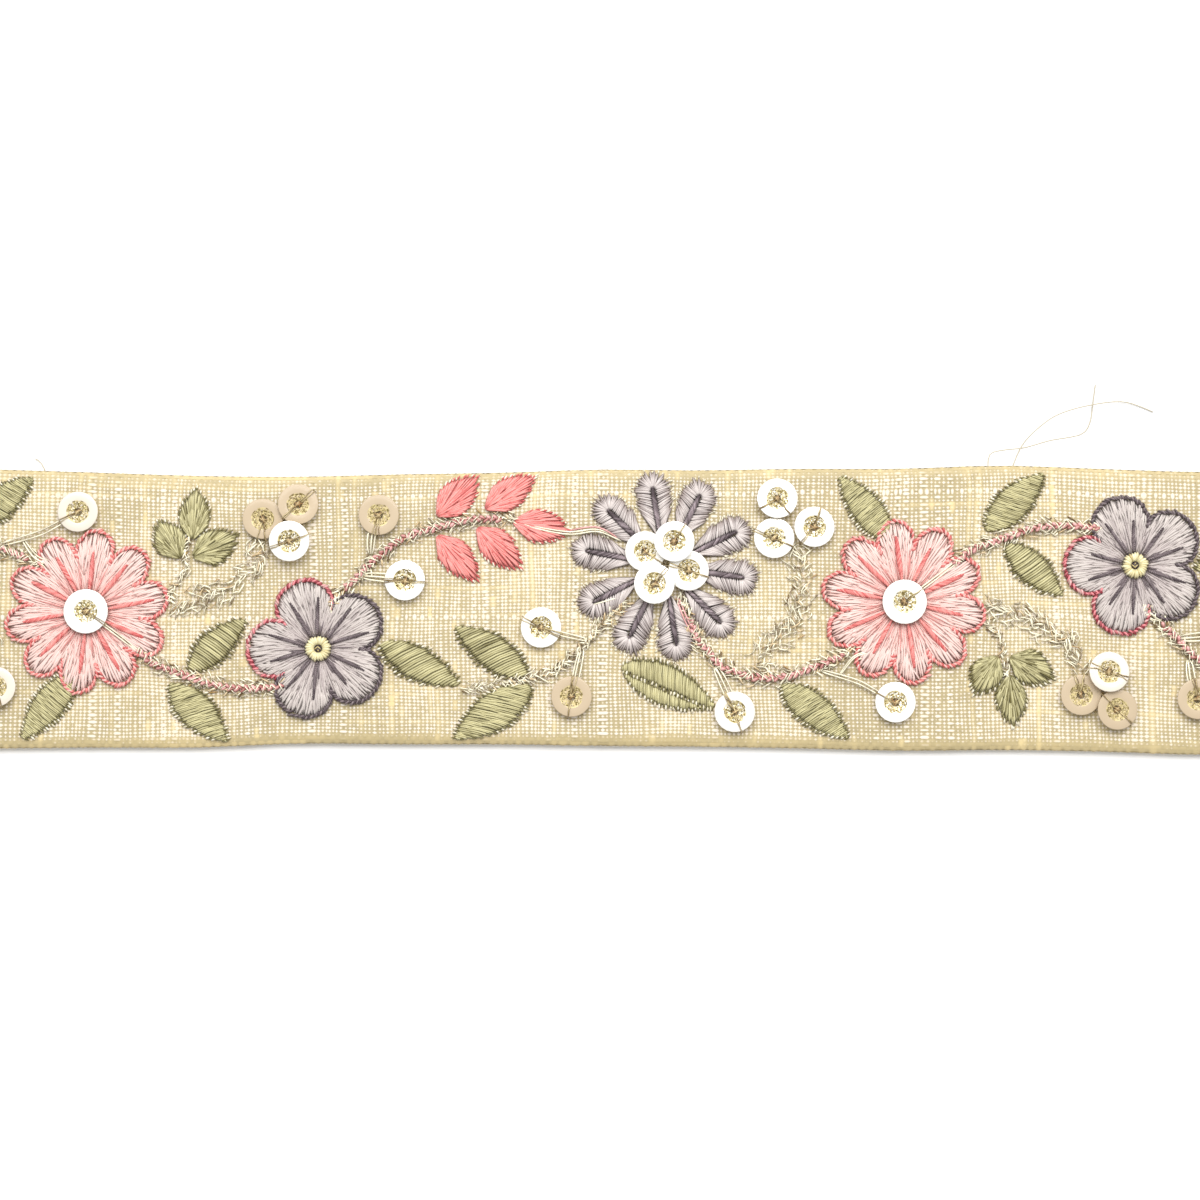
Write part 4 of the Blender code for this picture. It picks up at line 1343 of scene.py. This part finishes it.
class RIBBON_OT_stitch_leaves(bpy.types.Operator):
    """Embroider the green and coral leaves"""

    bl_idname = "ribbon.stitch_leaves"
    bl_label = "Stitch the leaves"

    def execute(self, context):
        look = context.scene.ribbon_threads
        threads = {"green": Bundle(), "coral": Bundle()}
        bobbin = Bundle()
        step = look.satin_step / MM
        for repeat in HALF_REPEATS:
            for number, row in enumerate(rows(LEAF_COLUMNS, LEAVES)):
                rng = np.random.default_rng(100 + 20 * (repeat + 1) + number)
                bundle = threads[row["colour"]]
                if row["kind"] == "fan":
                    self.fan(bundle, bobbin, row, repeat, rng)
                else:
                    self.satin(bundle, bobbin, row, repeat, step, rng)
        threads["green"].piece(
            "green_leaves",
            thread_material("green_satin", look.green_dark, look.green, look.gold_dark, fibres=0.7),
            "green_thread",
        )
        threads["coral"].piece(
            "coral_leaves",
            thread_material(
                "coral_leaf_satin", look.coral_dark, look.coral, look.pink, rough=0.38, fibres=0.7
            ),
            "coral_thread",
        )
        bobbin.piece("bobbin_teeth", bobbin_material(look), "ground_cloth")
        return {"FINISHED"}

    @staticmethod
    def frame_of(row):
        """A leaf's base, its direction and its length."""
        base = np.array((row["base_u"], row["base_v"]))
        tip = np.array((row["tip_u"], row["tip_v"]))
        length = np.linalg.norm(tip - base)
        return base, (tip - base) / length, length

    def satin(self, bundle, bobbin, row, repeat, step, rng):
        """Parallel slanted stitches across a leaf."""
        base, axis, length = self.frame_of(row)
        across = left_of(axis)
        half_width = row["width"] / 2
        direction = unit(row["slant"])
        normal = left_of(direction)
        step = step * {"satin": 1.0, "fine": 0.72, "split": 0.8}[row["kind"]]
        places = np.arange(-length / 2 - 1, length / 2 + 1, step)
        places = places + rng.normal(0, 0.02, len(places))
        reach = np.linspace(-length / 2 - 1, length / 2 + 1, 301)
        middle = base + axis * length / 2
        points = middle + normal * places[:, None, None] + direction * reach[None, :, None]
        share = ((points - base) @ axis) / length
        off = (points - base) @ across
        inside = (share > 0) & (share < 1) & (np.abs(off) < leaf_swell(share, half_width))
        if row["kind"] == "split":
            spans = (inside & (off > -0.55), inside & (off < -0.75))
        else:
            spans = (inside,)
        for span in spans:
            used = span.sum(axis=1) > 2
            first = reach[span.argmax(axis=1)]
            last = reach[len(reach) - 1 - span[:, ::-1].argmax(axis=1)]
            origin = middle + normal * places[:, None]
            start = (origin + direction * first[:, None])[used]
            end = (origin + direction * last[:, None])[used]
            self.lay_satin(bundle, bobbin, start, end, direction, row, repeat, rng)

    def lay_satin(self, bundle, bobbin, start, end, direction, row, repeat, rng):
        """Satin stitches between two edges, over a flat darker ground that is painted shade between
        them, with the teeth at their ends.
        """
        count = len(start)
        if count == 0:
            return
        start = start - direction * rng.uniform(-0.1, 0.15, (count, 1))
        end = end + direction * rng.uniform(-0.1, 0.15, (count, 1))
        length = np.linalg.norm(end - start, axis=1)
        crown = 0.14 + 0.30 * np.clip(length / row["width"], 0, 1)
        # The ground takes a mid tone, as painted shade between the stitches
        ground = crown[:, None] * np.array((-0.2, 0.35, -0.2))
        bundle.stitch(repeat, start, end, ground, 0.26, np.full(count, 0.5), flat=0.6, rim=0.1)
        self.teeth(bundle, bobbin, start, -direction, 0.75, repeat, rng)
        self.teeth(bundle, bobbin, end, direction, 0.4, repeat, rng)
        # Painted shade: each stitch is darker at its ends
        along_tone = np.array((0.1, 0.9, 1.1, 0.85, 0.0))
        half = 0.15
        if row["kind"] == "fine":
            joint = start + (end - start) * rng.uniform(0.25, 0.75, (count, 1))
            overlap = (end - start) * 0.14
            start = np.concatenate((start, joint - overlap))
            end = np.concatenate((joint + overlap, end))
            crown = np.concatenate((crown, crown))
            along_tone = np.array((0.35, 0.95, 1.1, 0.9, 0.25))
            half = 0.115
            count = len(start)
        heights = crown[:, None] * np.array((0.1, 0.85, 1.0, 0.85, 0.1)) + rng.normal(0, 0.02, (count, 1))
        tone = rng.normal(0.85, 0.15, count)[:, None] * along_tone
        tone = tone + rng.normal(0, 0.17, tone.shape)
        half = rng.normal(half, 0.012, count)
        bow = 0.03 + rng.normal(0, 0.012, count)
        bundle.stitch(repeat, start, end, heights, half, tone, taper=0.3, bow=bow, rim=0.6)

    @staticmethod
    def teeth(bundle, bobbin, edge, outward, share, repeat, rng):
        """Dark pointed stitch ends along an edge, as painted shade where the stitches go in, and the
        light bobbin thread between them.
        """
        edge = edge + rng.normal(0, 0.04, edge.shape)
        outward = outward * np.ones(edge.shape)
        dark = edge[::2]
        heights = np.array((0.12, 0.20, 0.04))
        size = rng.uniform(0.3, 0.5, (len(dark), 1))
        # Painted shade on the dark stitch ends
        tone = rng.uniform(-0.1, 0.35, len(dark))
        start = dark - outward[::2] * 0.35
        end = dark + outward[::2] * size
        bundle.stitch(repeat, start, end, heights, 0.15, tone, taper=0.15)
        light = edge[1::2]
        outward = outward[1::2]
        kept = rng.random(len(light)) < share
        size = rng.uniform(0.25, 0.6, (int(kept.sum()), 1))
        tone = rng.uniform(0.4, 1.2, len(size))
        start = light[kept] - outward[kept] * 0.1
        end = light[kept] + outward[kept] * size
        bobbin.stitch(repeat, start, end, heights, 0.14, tone, rim=0.4)

    def fan_edge(self, row, spread):
        """Points on a leaf's edge, for a spread from -1 on its right to 1 on its left."""
        base, axis, length = self.frame_of(row)
        share = (1 - 0.70 * np.abs(spread) ** 1.2).clip(0, 1)
        off = np.sign(spread) * leaf_swell(share, row["width"] / 2) * np.minimum(1, np.abs(spread) * 6)
        return base + axis * (share * length)[:, None] + left_of(axis) * off[:, None]

    def fan(self, bundle, bobbin, row, repeat, rng):
        """Rounds of short stitches that spread from the base of a leaf to its far edge."""
        base, axis, _ = self.frame_of(row)
        across = left_of(axis)
        count = 23
        reach = self.fan_edge(row, np.linspace(-0.97, 0.97, count)) - base
        # A darker flat ground under the stitches, as painted shade between them
        ground = np.array((0.12, 0.20, 0.20, 0.08))
        tone = np.full(count, 0.5)
        start = base + reach * 0.06
        end = base + reach * 0.95
        bundle.stitch(repeat, start, end, ground, 0.26, tone, taper=0.8, flat=0.4, rim=0.1)
        middle_tone = 0.57 if row["colour"] == "green" else 0.82
        for count, first_share, last_share, lift in FAN_ROUNDS:
            spread = np.linspace(-1, 1, count) + rng.normal(0, 0.02, count)
            root = base + across * (0.15 * spread)[:, None]
            edge = self.fan_edge(row, spread)
            first = first_share + rng.normal(0, 0.05, (count, 1))
            last = last_share + rng.normal(0, 0.04, (count, 1)) * (last_share < 1)
            start = root + (edge - root) * first.clip(0)
            end = root + (edge - root) * last
            # Painted shade: each stitch is darker at its ends
            tone = rng.normal(middle_tone, 0.22, count)[:, None] * np.array((0.5, 1.0, 1.2, 0.4))
            tone = tone + rng.normal(0, 0.18, tone.shape)
            heights = lift + np.array((0.24, 0.40, 0.42, 0.10 if last_share == 1 else 0.26))
            half = rng.normal(0.13, 0.014, count)
            bow = rng.normal(0, 0.03, count)
            bundle.stitch(repeat, start, end, heights, half, tone, taper=0.35, bow=bow, rim=0.6)
            if last_share == 1:
                outward = (edge - root) / np.linalg.norm(edge - root, axis=1, keepdims=True)
                self.teeth(bundle, bobbin, edge, outward, 0.5, repeat, rng)


class RIBBON_OT_couch_braids(bpy.types.Operator):
    """Lay the gold and coral braids, the sprays and the loose strands of the stems"""

    bl_idname = "ribbon.couch_braids"
    bl_label = "Couch the braids"

    def execute(self, context):
        look = context.scene.ribbon_threads
        gold = Bundle()
        core = Bundle()
        for repeat in HALF_REPEATS:
            for number, row in enumerate(rows(BRAID_COLUMNS, BRAIDS)):
                rng = np.random.default_rng(300 + 20 * (repeat + 1) + number)
                self.braid(gold, row, repeat, rng)
                if row["coral"][1] > 0:
                    self.chain(gold, core, row, repeat, rng)
            for number, row in enumerate(rows(STRAND_COLUMNS, STRAND_RUNS)):
                rng = np.random.default_rng(400 + 20 * (repeat + 1) + number)
                self.strands(gold if row["colour"] == "gold" else core, row, repeat, rng)
        gold.piece(
            "gold_braids",
            thread_material(
                "gold_metal_thread", look.gold_dark, look.gold, GOLD_WARM, rough=0.3, metal=0.12
            ),
            "gold_thread",
        )
        core.piece(
            "coral_cores",
            thread_material("mauve_satin", MAUVE_DARK, MAUVE, MAUVE_WARM, rough=0.32),
            "coral_thread",
        )
        return {"FINISHED"}

    @staticmethod
    def braid(gold, row, repeat, rng):
        """Short gold strands that slant in to a line, some of them crossed, over darker ones that are
        painted shadow.
        """
        wide = row["width"] > 2.2
        route, ahead = even_route(row["points"], 0.19 * row["openness"])
        # Each layer is the share of its strands that are laid, their tone and their lift. The first,
        # darker layer is painted shadow under the others
        layers = ((0.3, 0.5 if wide else 0.0, 0.0), (1.0, 0.88, 0.06), (0.6, 1.3, 0.16))
        for share_kept, layer_tone, lift in layers:
            kept = rng.random(len(route)) < share_kept
            middle, onward = route[kept], ahead[kept]
            count = len(middle)
            off = rng.normal(0, 0.28, count).clip(-0.55, 0.55)
            crossed = np.where(rng.random(count) < 0.22, -1, 1)
            turn = np.radians(-np.sign(off) * crossed * rng.uniform(10, 60, count))[:, None]
            direction = onward * np.cos(turn) + left_of(onward) * np.sin(turn)
            centre = middle + left_of(onward) * (off * row["width"])[:, None]
            reach = direction * rng.uniform(0.3, 0.75 + 0.25 * wide, (count, 1))
            rise = 0.40 - 0.35 * np.abs(off)[:, None]
            heights = lift + rise * np.array((0.15, 0.9, 1.0, 0.3))
            tone = layer_tone + rng.normal(0, 0.2, (count, 1)) + rng.normal(0, 0.32, (count, 4))
            tone = tone.clip(-0.1, 1.5)
            warm = np.where(rng.random(count) < 0.16, 0.6, 0.0)[:, None]
            half = rng.normal(0.085, 0.015, count).clip(0.055, 0.12)
            bow = rng.normal(0, 0.10 + 0.12 * wide, count)
            start = centre - reach
            end = centre + reach
            gold.stitch(repeat, start, end, heights, half, tone, warm, bow=bow, rim=0.8)

    @staticmethod
    def chain(gold, core, row, repeat, rng):
        """Coral stitches that lie in a row of open V shapes, crossed here and there by gold."""
        route, ahead = even_route(row["points"], 0.42)
        share = np.linspace(0, 1, len(route))
        chosen = (share >= row["coral"][0]) & (share <= row["coral"][1])
        middle, onward = route[chosen], ahead[chosen]
        over = left_of(onward)
        count = len(middle)
        sway = np.where(np.arange(count) % 2, 1, -1) * rng.normal(0.40, 0.08, count)
        start = middle + over * sway[:, None] - onward * rng.uniform(0.35, 0.6, (count, 1))
        end = middle - over * (sway * 0.3)[:, None] + onward * rng.uniform(0.25, 0.5, (count, 1))
        tone = rng.normal(0.85, 0.22, count)[:, None] * np.array((0.5, 1.2, 0.6, -0.3))
        warm = rng.uniform(0, 0.5, (count, 1)) * np.array((0, 0, 0.6, 1))
        half = rng.normal(0.21, 0.025, count)
        heights = np.array((0.22, 0.60, 0.54, 0.15))
        core.stitch(repeat, start, end, heights, half, tone, warm, taper=0.4, rim=0.9)
        crossing = rng.random(count) < 0.6
        joint = (middle - onward * 0.1)[crossing]
        reach = over[crossing] * np.where(rng.random(len(joint)) < 0.5, 1, -1)[:, None]
        reach = reach * rng.uniform(0.35, 0.6, (len(joint), 1))
        lean = onward[crossing] * rng.uniform(0.1, 0.6, (len(joint), 1))
        tone = rng.normal(1.15, 0.2, len(joint))
        heights = np.array((0.3, 0.74, 0.74, 0.3))
        gold.stitch(repeat, joint - reach - lean, joint + reach + lean, heights, 0.075, tone, rim=1.1)

    @staticmethod
    def strands(bundle, row, repeat, rng):
        """Long strands that lie side by side, close at both ends and spread between them."""
        count = row["count"]
        route, ahead = even_route(row["points"], 0.6)
        samples = len(route)
        ease = np.sin(np.linspace(0, np.pi, samples)) ** 0.5
        offsets = (np.arange(count) - (count - 1) / 2) * row["spread"] + rng.normal(0, 0.06, count)
        sideways = offsets[:, None] * (0.35 + 0.65 * ease)
        plan = route[None] + left_of(ahead)[None] * sideways[..., None]
        wave = 0.06 * np.sin(np.linspace(0, 9, samples)[None] + rng.uniform(0, 6, (count, 1)))
        heights = 0.12 + 0.42 * ease[None] + wave
        path = np.concatenate((lay(plan, repeat), (FACE_Z + heights)[..., None]), axis=-1)
        tone = rng.uniform(0.9, 1.3, (count, 1)) * (0.75 + 0.35 * rng.random((count, samples)))
        bundle.add(path, 0.115, tone, rim=1.0)


class RIBBON_OT_sew_sequins(bpy.types.Operator):
    """Make one sequin, copy it to every place and hold each with its threads"""

    bl_idname = "ribbon.sew_sequins"
    bl_label = "Sew the sequins"

    def execute(self, context):
        look = context.scene.ribbon_sequins
        material = self.sequin_material(look)
        patterns = {}
        bars = Bundle()
        number = 0
        for repeat in HALF_REPEATS:
            for row in rows(SEQUIN_COLUMNS, SEQUINS):
                spot = lay((row["u"], row["v"]), repeat)
                if abs(spot[0]) + row["diameter"] / 2 > LENGTH / 2:
                    continue
                number += 1
                if row["diameter"] not in patterns:
                    patterns[row["diameter"]] = self.pattern(row["diameter"], look)
                rng = np.random.default_rng(500 + number)
                mesh = patterns[row["diameter"]].copy()
                mesh.name = f"sequin_disc_{number:02d}"
                # Outer sequins are painted less white, as shade
                fully_lit = repeat == 0 or row["diameter"] == FLOWER_SEQUIN
                self.mark_facets(mesh, row["white"] * (1.0 if fully_lit else OUTER_SEQUIN_LIGHT), rng)
                lean = math.radians(side_of(repeat) * row["lean"])
                hinge = Vector((math.sin(lean), -math.cos(lean), 0))
                turned = Matrix.Rotation(math.radians(row["tilt"]), 4, hinge)
                spun = Matrix.Rotation(rng.uniform(0, math.tau), 4, "Z")
                moved = Matrix.Translation(Vector((*spot, FACE_Z + row["lift"])) * MM)
                mesh.transform(moved @ turned @ spun)
                mesh.materials.append(material)
                disc = keep_piece(mesh.name, mesh)
                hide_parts(f"sequin_{number:02d}")
                self.hold(bars, row, repeat, moved @ turned, rng)
        for mesh in patterns.values():
            bpy.data.meshes.remove(mesh)
        bars.piece(
            "sequin_threads",
            thread_material(
                "holding_thread", HOLDING_DARK, HOLDING, HOLDING_WARM, rough=0.35, metal=0.2
            ),
            "gold_thread",
        )
        return {"FINISHED"}

    @staticmethod
    def pattern(diameter, look):
        """A punched disc: flat rim, faceted cup and open hole, drawn out ring by ring."""
        rim = diameter / 2 * MM
        cup = rim * CUP_SHARE
        hole = look.hole / 2
        base = CAD_FILM * MM - look.film
        rings = (
            (hole + (cup - hole) * 0.35, look.cup_depth * 0.30),
            (hole + (cup - hole) * 0.7, look.cup_depth * 0.62),
            (cup * 0.97, look.cup_depth * 0.93),
            (cup * 1.04, look.cup_depth),
            (rim * 0.97, look.cup_depth),
            (rim, look.cup_depth - 0.02 * MM),
        )
        bpy.ops.object.select_all(action="DESELECT")
        bpy.ops.mesh.primitive_circle_add(vertices=24, radius=hole, location=(0, 0, 0))
        disc = bpy.context.object
        for vertex in disc.data.vertices:
            vertex.co.z = base
        bpy.ops.object.mode_set(mode="EDIT")
        bpy.ops.mesh.select_all(action="SELECT")
        reach, height = hole, 0.0
        for radius, level in rings:
            bpy.ops.mesh.extrude_edges_move()
            share = radius / reach
            bpy.ops.transform.resize(value=(share, share, 1))
            bpy.ops.transform.translate(value=(0, 0, level - height))
            reach, height = radius, level
        bpy.ops.mesh.select_all(action="SELECT")
        bpy.ops.mesh.normals_make_consistent(inside=False)
        bpy.ops.mesh.select_mode(type="FACE")
        bpy.ops.mesh.select_all(action="DESELECT")
        bpy.ops.object.mode_set(mode="OBJECT")
        for face in disc.data.polygons:
            face.select = math.hypot(*face.center.xy) < cup * 0.97
        bpy.ops.object.mode_set(mode="EDIT")
        bpy.ops.mesh.poke()
        bpy.ops.mesh.select_mode(type="VERT")
        bpy.ops.object.mode_set(mode="OBJECT")
        if sum(face.normal.z for face in disc.data.polygons) < 0:
            disc.data.flip_normals()
        select_only(disc)
        thick = disc.modifiers.new("film", "SOLIDIFY")
        thick.thickness = look.film
        thick.offset = 1
        bpy.ops.object.modifier_apply(modifier=thick.name)
        for face in disc.data.polygons:
            face.use_smooth = math.hypot(*face.center.xy) > cup
        mesh = disc.data
        bpy.data.objects.remove(disc)
        return mesh

    @staticmethod
    def mark_facets(mesh, white, rng):
        """Tilts the little facets of the cup, gives each its own painted glint, and marks how white
        the disc is painted.
        """
        rise = rng.uniform(-0.07, 0.07, len(mesh.vertices)) * MM
        for vertex, lift in zip(mesh.vertices, rise):
            if FACET_START * MM < vertex.co.xy.length < FACET_END * MM:
                vertex.co.z += lift
        glint = mesh.attributes.new("glint", "FLOAT", "FACE")
        reach = np.array([math.hypot(*face.center.xy) for face in mesh.polygons]) / MM
        values = np.where(reach < GLINT_END, rng.random(len(reach)), 0.0)
        glint.data.foreach_set("value", values)
        shade = mesh.attributes.new("white", "FLOAT", "FACE")
        shade.data.foreach_set("value", np.full(len(reach), white))

    @staticmethod
    def sequin_material(look):
        material, tree, shader = new_material("sequin_film")
        glint = add_node(tree, "ShaderNodeAttribute", attribute_name="glint").outputs["Fac"]
        white = add_node(tree, "ShaderNodeAttribute", attribute_name="white").outputs["Fac"]
        # A sequin is painted from beige, as shade away from the light, to its white film. Each facet of the
        # cup is painted by its glint: white as lit, the cup colour as shade, the darkest one as a painted
        # reflection
        film = blend_colour(tree, white, tuple(look.beige), tuple(look.white))
        weak = {"Value": glint, "From Min": 0.08, "From Max": 0.4}
        unlit_share = add_node(tree, "ShaderNodeMapRange", weak).outputs[0]
        strong = {"Value": glint, "From Min": 0.5, "From Max": 0.85}
        dark = add_node(tree, "ShaderNodeMapRange", strong).outputs[0]
        facet = blend_colour(tree, unlit_share, film, tuple(look.cup))
        colour = blend_colour(tree, dark, facet, tuple(look.facet_dark_reflection))
        tree.links.new(colour, shader.inputs["Base Color"])
        rough = calculate(tree, "SUBTRACT", 0.5, calculate(tree, "MULTIPLY", white, 0.3))
        tree.links.new(rough, shader.inputs["Roughness"])
        metal = calculate(tree, "MULTIPLY", calculate(tree, "ADD", white, glint), 0.2)
        tree.links.new(metal, shader.inputs["Metallic"])
        shader.inputs["Coat Weight"].default_value = 0.3
        shader.inputs["Coat Roughness"].default_value = 0.08
        position = add_node(tree, "ShaderNodeTexCoord").outputs["Object"]
        ripple = add_node(tree, "ShaderNodeTexNoise", {"Vector": position, "Scale": 700.0, "Detail": 2.0})
        raise_surface(tree, shader, ripple.outputs["Fac"], 0.15, 0.05 * MM)
        return material

    @staticmethod
    def hold(bars, row, repeat, matrix, rng):
        """Threads from the hole over the rim, and the small knot in the cup."""
        rim = row["diameter"] / 2
        drop = row["lift"] - 0.05
        # The way of a thread out from the hole: how far out, and how high over the sequin's foot
        profile = (
            (0.1, 0.12),
            (0.7, 0.42),
            (1.35, 0.66),
            (rim * 0.7, 0.68),
            (rim * 0.97, 0.68),
            (rim + 0.35, 0.2 - drop),
        )
        paths = []
        for bar in row["bars"]:
            for shift in (-0.07, 0.09):
                heading = unit(side_of(repeat) * (bar + rng.normal(0, 3)))
                across = left_of(heading) * shift
                line = []
                for reach, height in profile:
                    flat = heading * reach + across * (1 + rng.normal(0, 0.5))
                    point = matrix @ (Vector((*flat, height)) * MM)
                    line.append([c / MM for c in point])
                paths.append(line)
        count = len(paths)
        tone = rng.uniform(-0.1, 1.1, (count, len(profile)))
        bars.add(np.array(paths), rng.uniform(0.045, 0.075, (count, 1)), tone, rim=0.8)
        knots = []
        count = 7
        for _ in range(count):
            start = unit(rng.uniform(0, 360)) * rng.uniform(0.2, 0.55)
            end = -start + rng.normal(0, 0.15, 2)
            line = []
            for share, height in ((0, 0.22), (0.3, 0.5), (0.7, 0.52), (1, 0.22)):
                point = matrix @ (Vector((*(start + (end - start) * share), height)) * MM)
                line.append([c / MM for c in point])
            knots.append(line)
        tone = rng.uniform(0.2, 1.0, (count, 1))
        warm = rng.uniform(0, 0.8, (count, 1))
        bars.add(np.array(knots), 0.1, tone, warm)


class RIBBON_OT_pull_threads(bpy.types.Operator):
    """Leave the thin loose threads at the top edge"""

    bl_idname = "ribbon.pull_threads"
    bl_label = "Pull the loose threads"

    def execute(self, context):
        look = context.scene.ribbon_threads
        loose = Bundle()
        for points in LOOSE_THREADS:
            route = smooth_route(points, 0.7)
            share = np.linspace(0, 1, len(route))
            height = 0.12 + 0.9 * (1 - share) ** 3 + 0.5 * np.sin(np.pi * share) ** 2
            path = np.concatenate((route, height[:, None]), axis=1)
            loose.add(path[None], 0.07, 0.5)
        loose.piece(
            "loose_threads",
            thread_material("stray_thread", look.gold_dark, look.gold, look.gold),
            "ground_cloth",
        )
        return {"FINISHED"}


class RIBBON_OT_set_studio(bpy.types.Operator):
    """Set the floor, the soft light and the camera"""

    bl_idname = "ribbon.set_studio"
    bl_label = "Set the studio"

    def execute(self, context):
        look = context.scene.ribbon_studio
        bpy.ops.object.select_all(action="DESELECT")
        under = (0, 0, -0.05 * MM)
        bpy.ops.mesh.primitive_grid_add(x_subdivisions=4, y_subdivisions=4, size=3, location=under)
        floor = context.object
        floor.name = "floor"
        bpy.ops.object.transform_apply(location=True, rotation=True, scale=True)
        material, _, shader = new_material("white_floor")
        shader.inputs["Base Color"].default_value = (0.93, 0.93, 0.93, 1)
        shader.inputs["Roughness"].default_value = 0.9
        shader.inputs["Specular IOR Level"].default_value = 0.1
        floor.data.materials.append(material)

        target = Vector((4.25, 1.2, 1.0)) * MM
        bpy.ops.object.light_add(type="AREA", location=target + Vector((0.03, 0.32, 0.48)))
        key = context.object
        key.name = "key_light"
        key.data.shape = "RECTANGLE"
        key.data.size = 0.7
        key.data.size_y = 0.45
        key.data.energy = look.key_power
        key.rotation_euler = (target - key.location).to_track_quat("-Z", "Y").to_euler()

        world = bpy.data.worlds.new("studio_sky")
        world.use_nodes = True
        world.node_tree.nodes["Background"].inputs["Color"].default_value = (1, 1, 1, 1)
        world.node_tree.nodes["Background"].inputs["Strength"].default_value = look.sky
        context.scene.world = world
        context.scene.view_settings.view_transform = "Standard"

        lens = 85.0
        sensor_width = 36
        distance = look.frame_width * lens / sensor_width
        away = Vector((0, -math.cos(look.elevation), math.sin(look.elevation)))
        bpy.ops.object.camera_add(location=target + away * distance)
        camera = context.object
        camera.data.lens = lens
        camera.data.clip_start = 0.01
        camera.rotation_euler = (-away).to_track_quat("-Z", "Y").to_euler()
        context.scene.camera = camera
        return {"FINISHED"}


STEPS = (
    RIBBON_OT_lay_cloth,
    RIBBON_OT_weave_yarns,
    RIBBON_OT_stitch_pink_flowers,
    RIBBON_OT_stitch_violet_flowers,
    RIBBON_OT_stitch_grey_flowers,
    RIBBON_OT_stitch_leaves,
    RIBBON_OT_couch_braids,
    RIBBON_OT_sew_sequins,
    RIBBON_OT_pull_threads,
    RIBBON_OT_set_studio,
)
SETTINGS = {
    "ribbon_cloth": RibbonClothSettings,
    "ribbon_threads": RibbonThreadSettings,
    "ribbon_sequins": RibbonSequinSettings,
    "ribbon_studio": RibbonStudioSettings,
}


class RIBBON_PT_steps(bpy.types.Panel):
    """The steps of the ribbon and its settings"""

    bl_idname = "RIBBON_PT_steps"
    bl_label = "Embroidered ribbon"
    bl_space_type = "VIEW_3D"
    bl_region_type = "UI"
    bl_category = "Ribbon"

    def draw(self, context):
        for step in STEPS:
            self.layout.operator(step.bl_idname)
        for name, group in SETTINGS.items():
            box = self.layout.box()
            for setting in group.__annotations__:
                box.prop(getattr(context.scene, name), setting)


def register():
    for group in SETTINGS.values():
        bpy.utils.register_class(group)
    for name, group in SETTINGS.items():
        setattr(bpy.types.Scene, name, bpy.props.PointerProperty(type=group))
    for step in STEPS:
        bpy.utils.register_class(step)
    bpy.utils.register_class(RIBBON_PT_steps)


def unregister():
    bpy.utils.unregister_class(RIBBON_PT_steps)
    for step in reversed(STEPS):
        bpy.utils.unregister_class(step)
    for name, group in reversed(SETTINGS.items()):
        delattr(bpy.types.Scene, name)
        bpy.utils.unregister_class(group)


def main():
    register()
    for step in STEPS:
        family, name = step.bl_idname.split(".")
        getattr(getattr(bpy.ops, family), name)()


if __name__ == "__main__":
    main()
